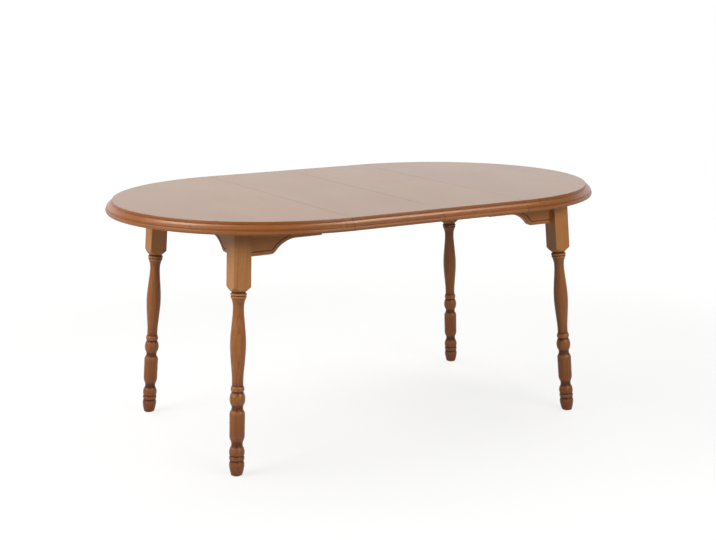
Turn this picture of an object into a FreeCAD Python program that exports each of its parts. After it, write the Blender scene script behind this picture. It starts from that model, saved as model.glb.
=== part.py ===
import FreeCAD, Part
import Sketcher
import math
import os

# Extending dining table, shown extended: two half-round tops on turned, splayed legs, with two loose
# leaves between them. X runs along the table, Y across it from front to rear, and Z up from the floor.
# Lengths are in millimetres and angles in degrees. The left half and the front are modelled, and the
# pieces that repeat are mirrored.

SIZES = {
    # Top
    "tableHeight": 750,
    "topWidth": 1030,
    "leafLength": 300,
    "seamGap": 0.3,
    "seamEase": 0.6,
    "panelThickness": 22,
    # Moulded edge
    "edgeDepth": 35,
    "edgeReach": 21,
    "edgeRebate": 25,
    "edgeArris": 1,
    "edgeStepReach": 2,
    "edgeStepDrop": 8,
    "edgeOvoloRadius": 23,
    "edgeQuirkHeight": 3.2,
    "edgeQuirkInset": 2.6,
    "edgeBeadHeight": 12,
    "edgeBeadRadius": 10.5,
    # Legs
    "legInsetEnd": 255,
    "legInsetSide": 205,
    "splayEnd": 3.51,
    "splaySide": 2.95,
    "blockSide": 54,
    "blockArris": 2,
    "turnedLength": 537,
    "shoulderHeight": 17,
    "shoulderRadius": 21,
    "glideHeight": 2.5,
    "glideDiameter": 24,
    "glideEase": 0.8,
    # Aprons
    "apronThickness": 20,
    "apronSetback": 19,
    "apronEarDepth": 97,
    "apronShallowDepth": 56,
    "apronEarLength": 67,
    "apronEarRadius": 21,
    "apronArchRadius": 88,
    "apronSlope": 48,
    "apronGrooveHeight": 11.3,
    "apronGrooveWidth": 3,
    "apronGrooveDepth": 2.5,
    "apronEdgeRound": 5,
    # Slides
    "slideLength": 490,
    "slideWidth": 22,
    "slideDepth": 45,
    "slideEndGap": 2,
    "slideSideGap": 0.5,
    "slideTopGap": 0.5,
    "slideBay": 84.5,
    "tongueRoot": 12,
    "tongueTip": 18,
    "tongueHeight": 7,
    "tongueClearance": 0.3,
    # Corner brackets and leg bolts
    "bracketThickness": 2.5,
    "bracketHeight": 40,
    "bracketDrop": 12,
    "bracketStandoff": 18,
    "bracketFlange": 22,
    "boltDiameter": 8,
    "boltLength": 70,
    "boltStart": 6,
    "boltHoleClearance": 0.5,
    "nutFlats": 13,
    "nutHeight": 6.5,
    "washerDiameter": 20,
    "washerThickness": 2,
    # Small fixings
    "screwDiameter": 4,
    "screwHeadDiameter": 8,
    "screwHeadHeight": 2.4,
    "bracketScrewLength": 15,
    "slideScrewBite": 12,
    "slideScrewInset": 28,
    "glueBlockSide": 24,
    "glueBlockLength": 70,
    "pinDiameter": 8,
    "pinLength": 32,
    "pinInset": 114,
    "pinClearance": 0.3,
    # Swivel catches
    "catchOffset": 22,
    "catchTipGap": 15,
    "catchWidth": 15,
    "catchThickness": 2,
    "catchClearance": 0.3,
    "catchHoleClearance": 0.1,
    "catchPostDiameter": 5,
    "catchSlotPlay": 0.7,
    "catchHeadDiameter": 11,
    "catchHeadHeight": 1.8,
    "catchCollarDiameter": 12,
    "catchCollarHeight": 2.4,
    "catchPostBite": 10,
    # Cutting
    "overrun": 5,
}

# The turned length of a leg, from the block down to the floor. Heights are shares of the turned length
# and radii are shares of half the block's side. Each run is drawn with the curve that its name gives.
TURNING_SHARES = [
    ("line", [(1.0, 0.76), (0.994, 0.76)]),
    ("arc", [(0.994, 0.76), (0.987, 0.89), (0.98, 0.80)]),
    ("arc", [(0.98, 0.80), (0.973, 0.85), (0.965, 0.78)]),
    ("spline", [(0.965, 0.78), (0.944, 0.65), (0.908, 0.59), (0.848, 0.67), (0.793, 0.77), (0.748, 0.835),
                (0.71, 0.85), (0.673, 0.825), (0.63, 0.765), (0.577, 0.675), (0.535, 0.615), (0.493, 0.61)]),
    ("arc", [(0.493, 0.61), (0.476, 0.735), (0.459, 0.63)]),
    ("arc", [(0.459, 0.63), (0.42, 0.84), (0.39, 0.71)]),
    ("line", [(0.39, 0.71), (0.387, 0.67)]),
    ("arc", [(0.387, 0.67), (0.374, 0.617), (0.36, 0.665)]),
    ("arc", [(0.36, 0.665), (0.351, 0.775), (0.337, 0.83)]),
    ("line", [(0.337, 0.83), (0.219, 0.82)]),
    ("arc", [(0.219, 0.82), (0.2035, 0.775), (0.192, 0.69)]),
    ("arc", [(0.192, 0.69), (0.175, 0.607), (0.16, 0.65)]),
    ("arc", [(0.16, 0.65), (0.139, 0.815), (0.113, 0.795)]),
    ("line", [(0.113, 0.795), (0.110, 0.745)]),
    ("line", [(0.110, 0.745), (0.108, 0.775)]),
    ("arc", [(0.108, 0.775), (0.0965, 0.825), (0.085, 0.775)]),
    ("line", [(0.085, 0.775), (0.081, 0.735)]),
    ("line", [(0.081, 0.735), (0.077, 0.77)]),
    ("spline", [(0.077, 0.77), (0.065, 0.82), (0.043, 0.785), (0.022, 0.705),
                (0.007, 0.625), (-0.006, 0.56)]),
]
# Where fixings lie, as shares of the stretch that they follow
SLIDE_SCREW_SHARES = (0, 0.5, 1)
PIN_SHARES = (-1, 0, 1)
BRACKET_SCREW_HEIGHT_SHARES = (-0.25, 0.25)
BRACKET_SCREW_FLANGE_SHARE = 0.6
GLUE_BLOCK_PLACE_SHARE = 0.787
# How much of the bay between the innermost slides the glue block at the end takes
END_GLUE_BLOCK_SHARE = 0.478
# How much of a side apron's straight length its ear takes
SIDE_EAR_SHARE = 0.454

FULL_TURN = 360
QUARTER_TURN = 90

doc = FreeCAD.newDocument("ExtendingTable")
sheet = doc.addObject("Spreadsheet::Sheet", "Sizes")
for row, (name, number) in enumerate(SIZES.items(), start=1):
    sheet.set(f"A{row}", name)
    sheet.set(f"B{row}", str(number))
    sheet.setAlias(f"B{row}", name)
doc.recompute()

subparts = []


def size(name):
    return f"Sizes.{name}"


def value(expression):
    number = sheet.evalExpression(expression)
    return float(getattr(number, "Value", number))


# Places that several pieces share, as expressions on the sheet
UNDERSIDE = "(Sizes.tableHeight - Sizes.panelThickness)"
SEAM = "Sizes.leafLength"
HALF_START = "(Sizes.leafLength + Sizes.seamGap / 2)"
OUTER_RADIUS = "(Sizes.topWidth / 2)"
FLAT_RADIUS = "(Sizes.topWidth / 2 - Sizes.edgeReach)"
LEG_X = f"({HALF_START} + {OUTER_RADIUS} - Sizes.legInsetEnd)"
LEG_Y = f"({OUTER_RADIUS} - Sizes.legInsetSide)"
BLOCK_HALF = "(Sizes.blockSide / 2)"
APRON_END = f"({LEG_X} + {BLOCK_HALF} - Sizes.apronSetback)"
APRON_SIDE = f"({LEG_Y} + {BLOCK_HALF} - Sizes.apronSetback)"
APRON_END_INSIDE = f"({APRON_END} - Sizes.apronThickness)"
APRON_SIDE_INSIDE = f"({APRON_SIDE} - Sizes.apronThickness)"
SLIDE_START = f"({APRON_END_INSIDE} - Sizes.slideEndGap)"
SLIDE_PITCH = "(Sizes.slideWidth + Sizes.slideSideGap)"
BOLT_HEIGHT = f"({UNDERSIDE} - Sizes.bracketDrop - Sizes.bracketHeight / 2)"
CATCH_X = f"({HALF_START} + Sizes.catchOffset)"
CATCH_REACH = "(2 * Sizes.catchOffset + Sizes.seamGap)"
CATCH_LINE = f"({APRON_SIDE_INSIDE} - Sizes.catchTipGap - Sizes.catchWidth / 2 - {CATCH_REACH})"
PIN_LINE = f"({FLAT_RADIUS} - Sizes.pinInset)"


def finish(feature, label):
    feature.Label = label
    subparts.append(feature)
    return feature


def origin_plane(body, role):
    return next(item for item in body.Origin.OriginFeatures if item.Role == role)


def new_sketch(body, role, name, offset="0"):
    sketch = body.newObject("Sketcher::SketchObject", name)
    sketch.AttachmentSupport = [(origin_plane(body, role), "")]
    sketch.MapMode = "FlatFace"
    sketch.setExpression("AttachmentOffset.Base.z", offset)
    return sketch


def arc_between(start, end, radius, turn):
    """An arc under half a circle, and whether it runs from start to end anticlockwise (turn is 1)."""
    chord = end - start
    middle = (start + end) * 0.5
    across = FreeCAD.Vector(-chord.y, chord.x, 0).normalize()
    rise = math.sqrt(max(radius ** 2 - (chord.Length / 2) ** 2, 0))
    centre = middle + across * (rise * turn)
    first, last = (start, end) if turn > 0 else (end, start)
    angle = [math.atan2(point.y - centre.y, point.x - centre.x) for point in (first, last)]
    return Part.ArcOfCircle(Part.Circle(centre, FreeCAD.Vector(0, 0, 1), radius), angle[0], angle[1])


def draw_outline(sketch, points):
    """A closed outline. A point is (x, y), or (x, y, radius, turn) where an arc leaves it."""
    places = [FreeCAD.Vector(value(point[0]), value(point[1]), 0) for point in points]
    first = sketch.GeometryCount
    ends = []
    for index, point in enumerate(points):
        start, end = places[index], places[(index + 1) % len(points)]
        if len(point) == 2:
            sketch.addGeometry(Part.LineSegment(start, end))
            ends.append((1, 2))
        else:
            sketch.addGeometry(arc_between(start, end, value(point[2]), point[3]))
            ends.append((1, 2) if point[3] > 0 else (2, 1))
    for index, point in enumerate(points):
        following = (index + 1) % len(points)
        sketch.addConstraint(Sketcher.Constraint(
            "Coincident", first + index, ends[index][1], first + following, ends[following][0]))
        for kind, expression in (("DistanceX", point[0]), ("DistanceY", point[1])):
            number = sketch.addConstraint(Sketcher.Constraint(
                kind, -1, 1, first + index, ends[index][0], value(expression)))
            sketch.setExpression(f"Constraints[{number}]", expression)
        if len(point) > 2:
            number = sketch.addConstraint(Sketcher.Constraint("Radius", first + index, value(point[2])))
            sketch.setExpression(f"Constraints[{number}]", point[2])
    return sketch


def pad(body, sketch, length, reverse=False, name="Pad"):
    feature = body.newObject("PartDesign::Pad", name)
    feature.Profile = sketch
    feature.Reversed = reverse
    feature.setExpression("Length", length)
    sketch.Visibility = False
    return feature


def outline_body(name, role, points, length, offset="0", reverse=False):
    body = doc.addObject("PartDesign::Body", name)
    sketch = draw_outline(new_sketch(body, role, name + "Outline", offset), points)
    pad(body, sketch, length, reverse, name + "Pad")
    return body


def edges_where(feature, test):
    doc.recompute()
    return [f"Edge{number}" for number, edge in enumerate(feature.Shape.Edges, start=1) if test(edge)]


def near(first, second):
    return abs(first - second) < value(size("seamGap")) / 10


def box(name, x, y, z, length, width, height):
    feature = doc.addObject("Part::Box", name)
    feature.setExpression("Length", length)
    feature.setExpression("Width", width)
    feature.setExpression("Height", height)
    feature.setExpression("Placement.Base.x", x)
    feature.setExpression("Placement.Base.y", y)
    feature.setExpression("Placement.Base.z", z)
    return feature


def cylinder(name, radius, height, x="0", y="0", z="0"):
    feature = doc.addObject("Part::Cylinder", name)
    feature.setExpression("Radius", radius)
    feature.setExpression("Height", height)
    feature.setExpression("Placement.Base.x", x)
    feature.setExpression("Placement.Base.y", y)
    feature.setExpression("Placement.Base.z", z)
    return feature


def turn(feature, axis, angle):
    for letter, share in zip("xyz", axis):
        feature.setExpression(f"Placement.Rotation.Axis.{letter}", str(share))
    feature.setExpression("Placement.Rotation.Angle", str(angle))
    return feature


def fuse(name, features):
    feature = doc.addObject("Part::MultiFuse", name)
    feature.Shapes = features
    return feature


def group(name, features):
    feature = doc.addObject("Part::Compound", name)
    feature.Links = features
    return feature


def cut(name, base, tool):
    feature = doc.addObject("Part::Cut", name)
    feature.Base = base
    feature.Tool = tool
    return feature


def mirror(name, source, normal):
    feature = doc.addObject("Part::Mirroring", name)
    feature.Source = source
    feature.Normal = normal
    return feature


def to_rear(name, source):
    return mirror(name, source, FreeCAD.Vector(0, 1, 0))


def to_right(name, source):
    return mirror(name, source, FreeCAD.Vector(1, 0, 0))


def both_sides(name, front):
    return group(name, [front, to_rear(name + "Rear", front)])


def finish_corners(label, front_left):
    """A front left piece and its mirror images at the other three corners."""
    rear_left = to_rear(label + "RearLeft", front_left)
    finish(front_left, label.format("front", "left"))
    finish(rear_left, label.format("rear", "left"))
    finish(to_right(label + "FrontRight", front_left), label.format("front", "right"))
    finish(to_right(label + "RearRight", rear_left), label.format("rear", "right"))


def finish_halves(label, left):
    finish(left, label.format("left"))
    finish(to_right(label + "Right", left), label.format("right"))


# Moulded edge: a step, an ovolo, a quirk and a bead, over a rebate that takes the panel
def edge_points():
    """The section at the front, as (y, z), clockwise from the arris of the flat."""
    def out(reach):
        return f"-({FLAT_RADIUS} + {reach})"

    def down(drop):
        return f"(Sizes.tableHeight - ({drop}))"

    bead_half = "Sizes.edgeBeadHeight / 2"
    bead_reach = (f"(Sizes.edgeReach - Sizes.edgeBeadRadius"
                  f" + sqrt(pow(Sizes.edgeBeadRadius; 2) - pow({bead_half}; 2)))")
    bead_top = "(Sizes.edgeDepth - Sizes.edgeBeadHeight)"
    quirk = "(Sizes.edgeReach - Sizes.edgeQuirkInset)"
    return [
        (out("0"), down("0")),
        (out("Sizes.edgeArris"), down("Sizes.edgeArris")),
        (out("Sizes.edgeStepReach"), down("Sizes.edgeStepDrop"), size("edgeOvoloRadius"), 1),
        (out(quirk), down(f"{bead_top} - Sizes.edgeQuirkHeight")),
        (out(quirk), down(bead_top)),
        (out(bead_reach), down(bead_top), size("edgeBeadRadius"), 1),
        (out(bead_reach), down("Sizes.edgeDepth")),
        (out("-Sizes.edgeRebate"), down("Sizes.edgeDepth")),
        (out("-Sizes.edgeRebate"), down("Sizes.panelThickness")),
        (out("0"), down("Sizes.panelThickness")),
    ]


def make_half_moulding():
    body = doc.addObject("PartDesign::Body", "HalfMoulding")
    sketch = draw_outline(new_sketch(body, "YZ_Plane", "HalfMouldingSection"), edge_points())
    ring = body.newObject("PartDesign::Revolution", "HalfMouldingRing")
    ring.Profile = sketch
    ring.ReferenceAxis = (sketch, ["V_Axis"])
    ring.Angle = FULL_TURN / 2
    ring.Reversed = True
    body.setExpression("Placement.Base.x", f"-{HALF_START}")
    finish_halves("top_moulding_{}", body)


def make_leaf_moulding():
    length = "(Sizes.leafLength - Sizes.seamGap)"
    body = outline_body("LeafMoulding", "YZ_Plane", edge_points(), length, f"-{SEAM} + Sizes.seamGap / 2")
    finish_corners("leaf_moulding_{}_{}", body)


# Countersunk screws that hold a fixed slide, up through it into the half top
def make_slide_screws(name, line):
    last = f"({HALF_START} + Sizes.slideScrewInset)"
    first = f"({SLIDE_START} - Sizes.slideScrewInset)"
    screws = []
    for number, share in enumerate(SLIDE_SCREW_SHARES):
        x = f"-({first} + ({last} - {first}) * {share})"
        bottom = f"({UNDERSIDE} - Sizes.slideDepth)"
        shank = cylinder(f"{name}Shank{number}", "Sizes.screwDiameter / 2",
                         "Sizes.slideDepth + Sizes.slideScrewBite", x, line, bottom)
        head = doc.addObject("Part::Cone", f"{name}Head{number}")
        head.setExpression("Radius1", "Sizes.screwHeadDiameter / 2")
        head.setExpression("Radius2", "Sizes.screwDiameter / 2")
        head.setExpression("Height", size("screwHeadHeight"))
        head.setExpression("Placement.Base.x", x)
        head.setExpression("Placement.Base.y", line)
        head.setExpression("Placement.Base.z", bottom)
        screws.append(fuse(f"{name}SlideScrew{number}", [shank, head]))
    return both_sides(name + "SlideScrews", group(name + "SlideScrewRow", screws))


# Location pins: half of each in the half top, half in a slot of the leaf that is open below
def make_pins():
    pins = []
    for number, share in enumerate(PIN_SHARES):
        pin = cylinder(f"Pin{number}", "Sizes.pinDiameter / 2", "Sizes.pinLength",
                       f"-{SEAM} - Sizes.pinLength / 2", f"{share} * {PIN_LINE}",
                       f"{UNDERSIDE} + Sizes.panelThickness / 2")
        pins.append(turn(pin, (0, 1, 0), QUARTER_TURN))
    return group("Pins", pins)


def make_pin_slots():
    slots = []
    half = "(Sizes.pinDiameter / 2 + Sizes.pinClearance)"
    for number, share in enumerate(PIN_SHARES):
        slots.append(box(f"PinSlot{number}", f"-{SEAM} - Sizes.overrun",
                         f"{share} * {PIN_LINE} - {half}", f"{UNDERSIDE} - Sizes.overrun",
                         "Sizes.overrun + Sizes.pinLength / 2 + Sizes.pinClearance", f"2 * {half}",
                         f"Sizes.overrun + Sizes.panelThickness / 2 + {half}"))
    return fuse("PinSlots", slots)


# Catch posts: a collar against the wood, a post that bites into it, and a head below the hook
def make_post(name, x):
    lower = f"({UNDERSIDE} - Sizes.catchCollarHeight - Sizes.catchThickness - 2 * Sizes.catchClearance)"
    line = f"-{CATCH_LINE}"
    post = cylinder(name + "Post", "Sizes.catchPostDiameter / 2",
                    f"{UNDERSIDE} + Sizes.catchPostBite - {lower}", x, line, lower)
    head = cylinder(name + "Head", "Sizes.catchHeadDiameter / 2", "Sizes.catchHeadHeight", x, line,
                    f"{lower} - Sizes.catchHeadHeight")
    collar = cylinder(name + "Collar", "Sizes.catchCollarDiameter / 2", "Sizes.catchCollarHeight", x, line,
                      f"{UNDERSIDE} - Sizes.catchCollarHeight")
    return both_sides(name, fuse(name + "Front", [post, head, collar]))


def make_catch():
    """A flat hook, unlocked: it lies across the table, and its slot opens towards the leaf."""
    half = "(Sizes.catchWidth / 2)"
    slot = "(Sizes.catchPostDiameter / 2 + Sizes.catchSlotPlay)"
    level = f"{UNDERSIDE} - Sizes.catchCollarHeight - Sizes.catchThickness - Sizes.catchClearance"
    body = outline_body("Catch", "XY_Plane", [
        (f"-{half}", "0"),
        (f"-{half}", f"-{CATCH_REACH}", half, 1),
        ("0", f"-{CATCH_REACH} - {half}", half, 1),
        (half, f"-{CATCH_REACH} - {slot}"),
        ("0", f"-{CATCH_REACH} - {slot}", slot, -1),
        (f"-{slot}", f"-{CATCH_REACH}", slot, -1),
        ("0", f"-{CATCH_REACH} + {slot}"),
        (half, f"-{CATCH_REACH} + {slot}"),
        (half, "0", half, 1),
        ("0", half, half, 1),
    ], size("catchThickness"))
    body.setExpression("Placement.Base.x", f"-{CATCH_X}")
    body.setExpression("Placement.Base.y", f"-{CATCH_LINE}")
    body.setExpression("Placement.Base.z", level)
    hole = cylinder("CatchHole", "Sizes.catchPostDiameter / 2 + Sizes.catchHoleClearance",
                    "Sizes.catchThickness + 2 * Sizes.overrun",
                    f"-{CATCH_X}", f"-{CATCH_LINE}", f"{level} - Sizes.overrun")
    finish_corners("catch_{}_{}", cut("CatchDrilled", body, hole))


# Legs: a square block over a turned length, leaning out both ways, and cut level at both ends
FOOT_X = f"({LEG_X} + {UNDERSIDE} * tan(Sizes.splayEnd))"
FOOT_Y = f"({LEG_Y} + {UNDERSIDE} * tan(Sizes.splaySide))"


def lean(feature):
    feature.setExpression("Placement.Base.x", f"-{FOOT_X}")
    feature.setExpression("Placement.Base.y", f"-{FOOT_Y}")
    feature.setExpression("Placement.Rotation.Axis.x", "-tan(Sizes.splaySide)")
    feature.setExpression("Placement.Rotation.Axis.y", "tan(Sizes.splayEnd)")
    feature.setExpression("Placement.Rotation.Axis.z", "0")
    feature.setExpression("Placement.Rotation.Angle",
                          "atan(sqrt(pow(tan(Sizes.splayEnd); 2) + pow(tan(Sizes.splaySide); 2)))")
    return feature


def draw_turning(sketch):
    """The turned outline against the leg's axis, closed inside the block."""
    length = value(size("turnedLength"))
    radius = value(BLOCK_HALF)
    join = length + value(size("shoulderHeight"))
    runs = []
    for kind, stations in TURNING_SHARES:
        points = [FreeCAD.Vector(radius * across, length * up, 0) for up, across in stations]
        runs.append(points)
        if kind == "line":
            sketch.addGeometry(Part.LineSegment(points[0], points[1]))
        elif kind == "arc":
            sketch.addGeometry(Part.Arc(points[0], points[1], points[2]))
        else:
            curve = Part.BSplineCurve()
            curve.interpolate(points)
            sketch.addGeometry(curve)
    top, bottom = runs[0][0], runs[-1][-1]
    inside = [FreeCAD.Vector(bottom.x, bottom.y, 0), FreeCAD.Vector(0, bottom.y, 0),
              FreeCAD.Vector(0, join, 0), FreeCAD.Vector(top.x, join, 0), FreeCAD.Vector(top.x, top.y, 0)]
    for start, end in zip(inside, inside[1:]):
        sketch.addGeometry(Part.LineSegment(start, end))


def make_leg_blank():
    body = doc.addObject("PartDesign::Body", "Leg")
    square = draw_outline(new_sketch(body, "XY_Plane", "LegBlockOutline", size("turnedLength")), [
        (f"-{BLOCK_HALF}", f"-{BLOCK_HALF}"), (BLOCK_HALF, f"-{BLOCK_HALF}"),
        (BLOCK_HALF, BLOCK_HALF), (f"-{BLOCK_HALF}", BLOCK_HALF)])
    block = pad(body, square, f"{UNDERSIDE} - Sizes.turnedLength + Sizes.blockSide / 2", name="LegBlock")
    arris = body.newObject("PartDesign::Fillet", "LegArris")
    arris.Base = (block, edges_where(block, lambda edge: abs(edge.tangentAt(0).z) > 0.5))
    arris.setExpression("Radius", size("blockArris"))
    # The lathe cuts the corners of the block to a cone
    shoulder = draw_outline(new_sketch(body, "XZ_Plane", "LegShoulderCut"), [
        (size("shoulderRadius"), size("turnedLength")),
        (size("blockSide"), size("turnedLength")),
        (size("blockSide"), f"Sizes.turnedLength + Sizes.shoulderHeight * (Sizes.blockSide"
                            f" - Sizes.shoulderRadius) / ({BLOCK_HALF} * sqrt(2) - Sizes.shoulderRadius)")])
    cone = body.newObject("PartDesign::Groove", "LegShoulder")
    cone.Profile = shoulder
    cone.ReferenceAxis = (shoulder, ["V_Axis"])
    cone.Angle = FULL_TURN
    turning = new_sketch(body, "XZ_Plane", "LegTurningOutline")
    draw_turning(turning)
    shaft = body.newObject("PartDesign::Revolution", "LegTurning")
    shaft.Profile = turning
    shaft.ReferenceAxis = (turning, ["V_Axis"])
    shaft.Angle = FULL_TURN
    # From a block's side outside the foot to a block's side inside the top
    slab = box("LegLevel", f"-{FOOT_X} - Sizes.blockSide", f"-{FOOT_Y} - Sizes.blockSide",
               size("glideHeight"), f"{FOOT_X} - {LEG_X} + 2 * Sizes.blockSide",
               f"{FOOT_Y} - {LEG_Y} + 2 * Sizes.blockSide", f"{UNDERSIDE} - Sizes.glideHeight")
    leg = doc.addObject("Part::Common", "LegCutLevel")
    leg.Base = lean(body)
    leg.Tool = slab
    return leg


def make_glides():
    body = doc.addObject("PartDesign::Body", "Glide")
    sketch = draw_outline(new_sketch(body, "XZ_Plane", "GlideSection"), [
        ("0", "0"), ("Sizes.glideDiameter / 2 - Sizes.glideEase", "0"),
        ("Sizes.glideDiameter / 2", size("glideEase")), ("Sizes.glideDiameter / 2", size("glideHeight")),
        ("0", size("glideHeight"))])
    disc = body.newObject("PartDesign::Revolution", "GlideDisc")
    disc.Profile = sketch
    disc.ReferenceAxis = (sketch, ["V_Axis"])
    disc.Angle = FULL_TURN
    body.setExpression("Placement.Base.x", f"-{FOOT_X} + Sizes.glideHeight * tan(Sizes.splayEnd)")
    body.setExpression("Placement.Base.y", f"-{FOOT_Y} + Sizes.glideHeight * tan(Sizes.splaySide)")
    finish_halves("foot_glides_{}", both_sides("Glides", body))


# Aprons: deep ears beside the legs, an S curve up to a shallow rail, and a groove along the lower edge
CURVE_RADII = "(Sizes.apronEarRadius + Sizes.apronArchRadius)"
CURVE_CLIMB = (f"(Sizes.apronEarDepth - Sizes.apronShallowDepth"
               f" - {CURVE_RADII} * (1 - cos(Sizes.apronSlope)))")
CURVE_RUN = f"({CURVE_RADII} * sin(Sizes.apronSlope) + {CURVE_CLIMB} / tan(Sizes.apronSlope))"


def apron_edge(ear_end, direction, offset="0"):
    """The S curve in from an ear, raised by offset: its four points, towards the shallow rail."""
    deep = f"({UNDERSIDE} - Sizes.apronEarDepth)"
    shallow = f"({UNDERSIDE} - Sizes.apronShallowDepth)"
    ear, arch, slope = size("apronEarRadius"), size("apronArchRadius"), size("apronSlope")
    arch_end = f"({ear_end} + {direction} * {CURVE_RUN})"
    small, large = f"({ear} - ({offset}))", f"({arch} + ({offset}))"
    return [
        (ear_end, f"{deep} + {offset}", small, direction),
        (f"{ear_end} + {direction} * {small} * sin({slope})", f"{deep} + {ear} - {small} * cos({slope})"),
        (f"{arch_end} - {direction} * {large} * sin({slope})",
         f"{shallow} - {arch} + {large} * cos({slope})", large, -direction),
        (arch_end, f"{shallow} + {offset}"),
    ]


def reverse_path(points):
    """The same path from its other end. An arc then leaves the point that it came to, and turns back."""
    turned = []
    for index in range(len(points) - 1, -1, -1):
        before = points[index - 1] if index > 0 else points[index][:2]
        bend = (before[2], -before[3]) if len(before) > 2 else ()
        turned.append(points[index][:2] + bend)
    return turned


def apron_body(name, role, path, offset_plane, into_solid_along_normal):
    """An apron from its lower path: a pad, a rounded lower edge and a routed groove above it."""
    first, last = path("0")[0], path("0")[-1]
    outline = path("0") + [(last[0], UNDERSIDE), (first[0], UNDERSIDE)]
    body = outline_body(name, role, outline, size("apronThickness"), offset_plane,
                        reverse=not into_solid_along_normal)
    face = value(offset_plane)
    top = value(UNDERSIDE)

    def outer_lower(edge):
        box_of_edge = edge.BoundBox
        if role == "XZ_Plane":
            outside = near(box_of_edge.YMin, -face) and near(box_of_edge.YMax, -face)
        else:
            outside = near(box_of_edge.XMin, face) and near(box_of_edge.XMax, face)
        return outside and box_of_edge.ZMax < top - value(size("apronEdgeRound"))

    blank = body.Tip
    round_edge = body.newObject("PartDesign::Fillet", name + "Round")
    round_edge.Base = (blank, edges_where(blank, outer_lower))
    round_edge.setExpression("Radius", size("apronEdgeRound"))
    low, high = size("apronGrooveHeight"), "(Sizes.apronGrooveHeight + Sizes.apronGrooveWidth)"
    strip = draw_outline(new_sketch(body, role, name + "GrooveOutline", offset_plane),
                         path(low) + reverse_path(path(high)))
    groove = body.newObject("PartDesign::Pocket", name + "Groove")
    groove.Profile = strip
    groove.Reversed = into_solid_along_normal
    groove.setExpression("Length", size("apronGrooveDepth"))
    return body


def make_side_apron():
    # The ear and the shallow rail share what the curve leaves between the block and the seam
    straight = f"({LEG_X} - {BLOCK_HALF} - {HALF_START} - {CURVE_RUN})"
    ear_end = f"(-({LEG_X} - {BLOCK_HALF} - {SIDE_EAR_SHARE} * {straight}))"

    def path(offset):
        bend = apron_edge(ear_end, 1, offset)
        return [(f"-{LEG_X}", bend[0][1])] + bend + [(f"-{HALF_START}", bend[-1][1])]

    return apron_body("SideApron", "XZ_Plane", path, APRON_SIDE, False)


def make_end_apron():
    ear_end = f"({LEG_Y} - {BLOCK_HALF} - Sizes.apronEarLength)"

    def path(offset):
        bend = apron_edge(f"(-{ear_end})", 1, offset)
        back = reverse_path(apron_edge(ear_end, -1, offset))
        return [(f"-{LEG_Y}", bend[0][1])] + bend + back + [(LEG_Y, bend[0][1])]

    return apron_body("EndApron", "YZ_Plane", path, f"-{APRON_END}", True)


# Corner brackets: a plate across each corner, pulled to the leg by a bolt, and screwed to both aprons
AXIS_AT_BOLT_X = f"({LEG_X} + ({UNDERSIDE} - {BOLT_HEIGHT}) * tan(Sizes.splayEnd))"
AXIS_AT_BOLT_Y = f"({LEG_Y} + ({UNDERSIDE} - {BOLT_HEIGHT}) * tan(Sizes.splaySide))"
PLATE_SUM = f"({AXIS_AT_BOLT_X} + {AXIS_AT_BOLT_Y} - Sizes.blockSide - Sizes.bracketStandoff * sqrt(2))"
PLATE_AT_END_Y = f"({PLATE_SUM} - {APRON_END_INSIDE})"
PLATE_AT_SIDE_X = f"({PLATE_SUM} - {APRON_SIDE_INSIDE})"
PLATE_FROM_AXIS = "(Sizes.blockSide / sqrt(2) + Sizes.bracketStandoff)"


def along_diagonal(feature, distance):
    """Turned to point in from the corner, and set that far in from the leg's axis."""
    feature.setExpression("Placement.Base.x", f"-{AXIS_AT_BOLT_X} + ({distance}) / sqrt(2)")
    feature.setExpression("Placement.Base.y", f"-{AXIS_AT_BOLT_Y} + ({distance}) / sqrt(2)")
    feature.setExpression("Placement.Base.z", BOLT_HEIGHT)
    return turn(feature, (-1, 1, 0), QUARTER_TURN)


def make_bracket_plate():
    thick = size("bracketThickness")
    corner = f"({thick} * tan({QUARTER_TURN / 4}))"
    flange = size("bracketFlange")
    return outline_body("Bracket", "XY_Plane", [
        (f"-{APRON_END_INSIDE}", f"-{PLATE_AT_END_Y} + {flange}"),
        (f"-{APRON_END_INSIDE}", f"-{PLATE_AT_END_Y}"),
        (f"-{PLATE_AT_SIDE_X}", f"-{APRON_SIDE_INSIDE}"),
        (f"-{PLATE_AT_SIDE_X} + {flange}", f"-{APRON_SIDE_INSIDE}"),
        (f"-{PLATE_AT_SIDE_X} + {flange}", f"-{APRON_SIDE_INSIDE} + {thick}"),
        (f"-{PLATE_AT_SIDE_X} + {corner}", f"-{APRON_SIDE_INSIDE} + {thick}"),
        (f"-{APRON_END_INSIDE} + {thick}", f"-{PLATE_AT_END_Y} + {corner}"),
        (f"-{APRON_END_INSIDE} + {thick}", f"-{PLATE_AT_END_Y} + {flange}"),
    ], size("bracketHeight"), f"{BOLT_HEIGHT} - Sizes.bracketHeight / 2")


def make_bracket_screws():
    """Two screws through each flange of the front left bracket."""
    screws = []
    middle = f"{BRACKET_SCREW_FLANGE_SHARE} * Sizes.bracketFlange"
    for number, share in enumerate(BRACKET_SCREW_HEIGHT_SHARES):
        height = f"{BOLT_HEIGHT} + {share} * Sizes.bracketHeight"
        places = (
            (f"-{APRON_END_INSIDE} + Sizes.bracketThickness", f"-{PLATE_AT_END_Y} + {middle}", (0, -1, 0)),
            (f"-{PLATE_AT_SIDE_X} + {middle}", f"-{APRON_SIDE_INSIDE} + Sizes.bracketThickness", (1, 0, 0)),
        )
        for place, (x, y, axis) in enumerate(places):
            name = f"BracketScrew{number}{place}"
            shank = cylinder(name + "Shank", "Sizes.screwDiameter / 2", size("bracketScrewLength"),
                             x, y, height)
            head = cylinder(name + "Head", "Sizes.screwHeadDiameter / 2", size("screwHeadHeight"),
                            x, y, height)
            turn(shank, axis, QUARTER_TURN)
            turn(head, axis, -QUARTER_TURN)
            screws.append(fuse(name, [shank, head]))
    return group("BracketScrews", screws)


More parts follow.
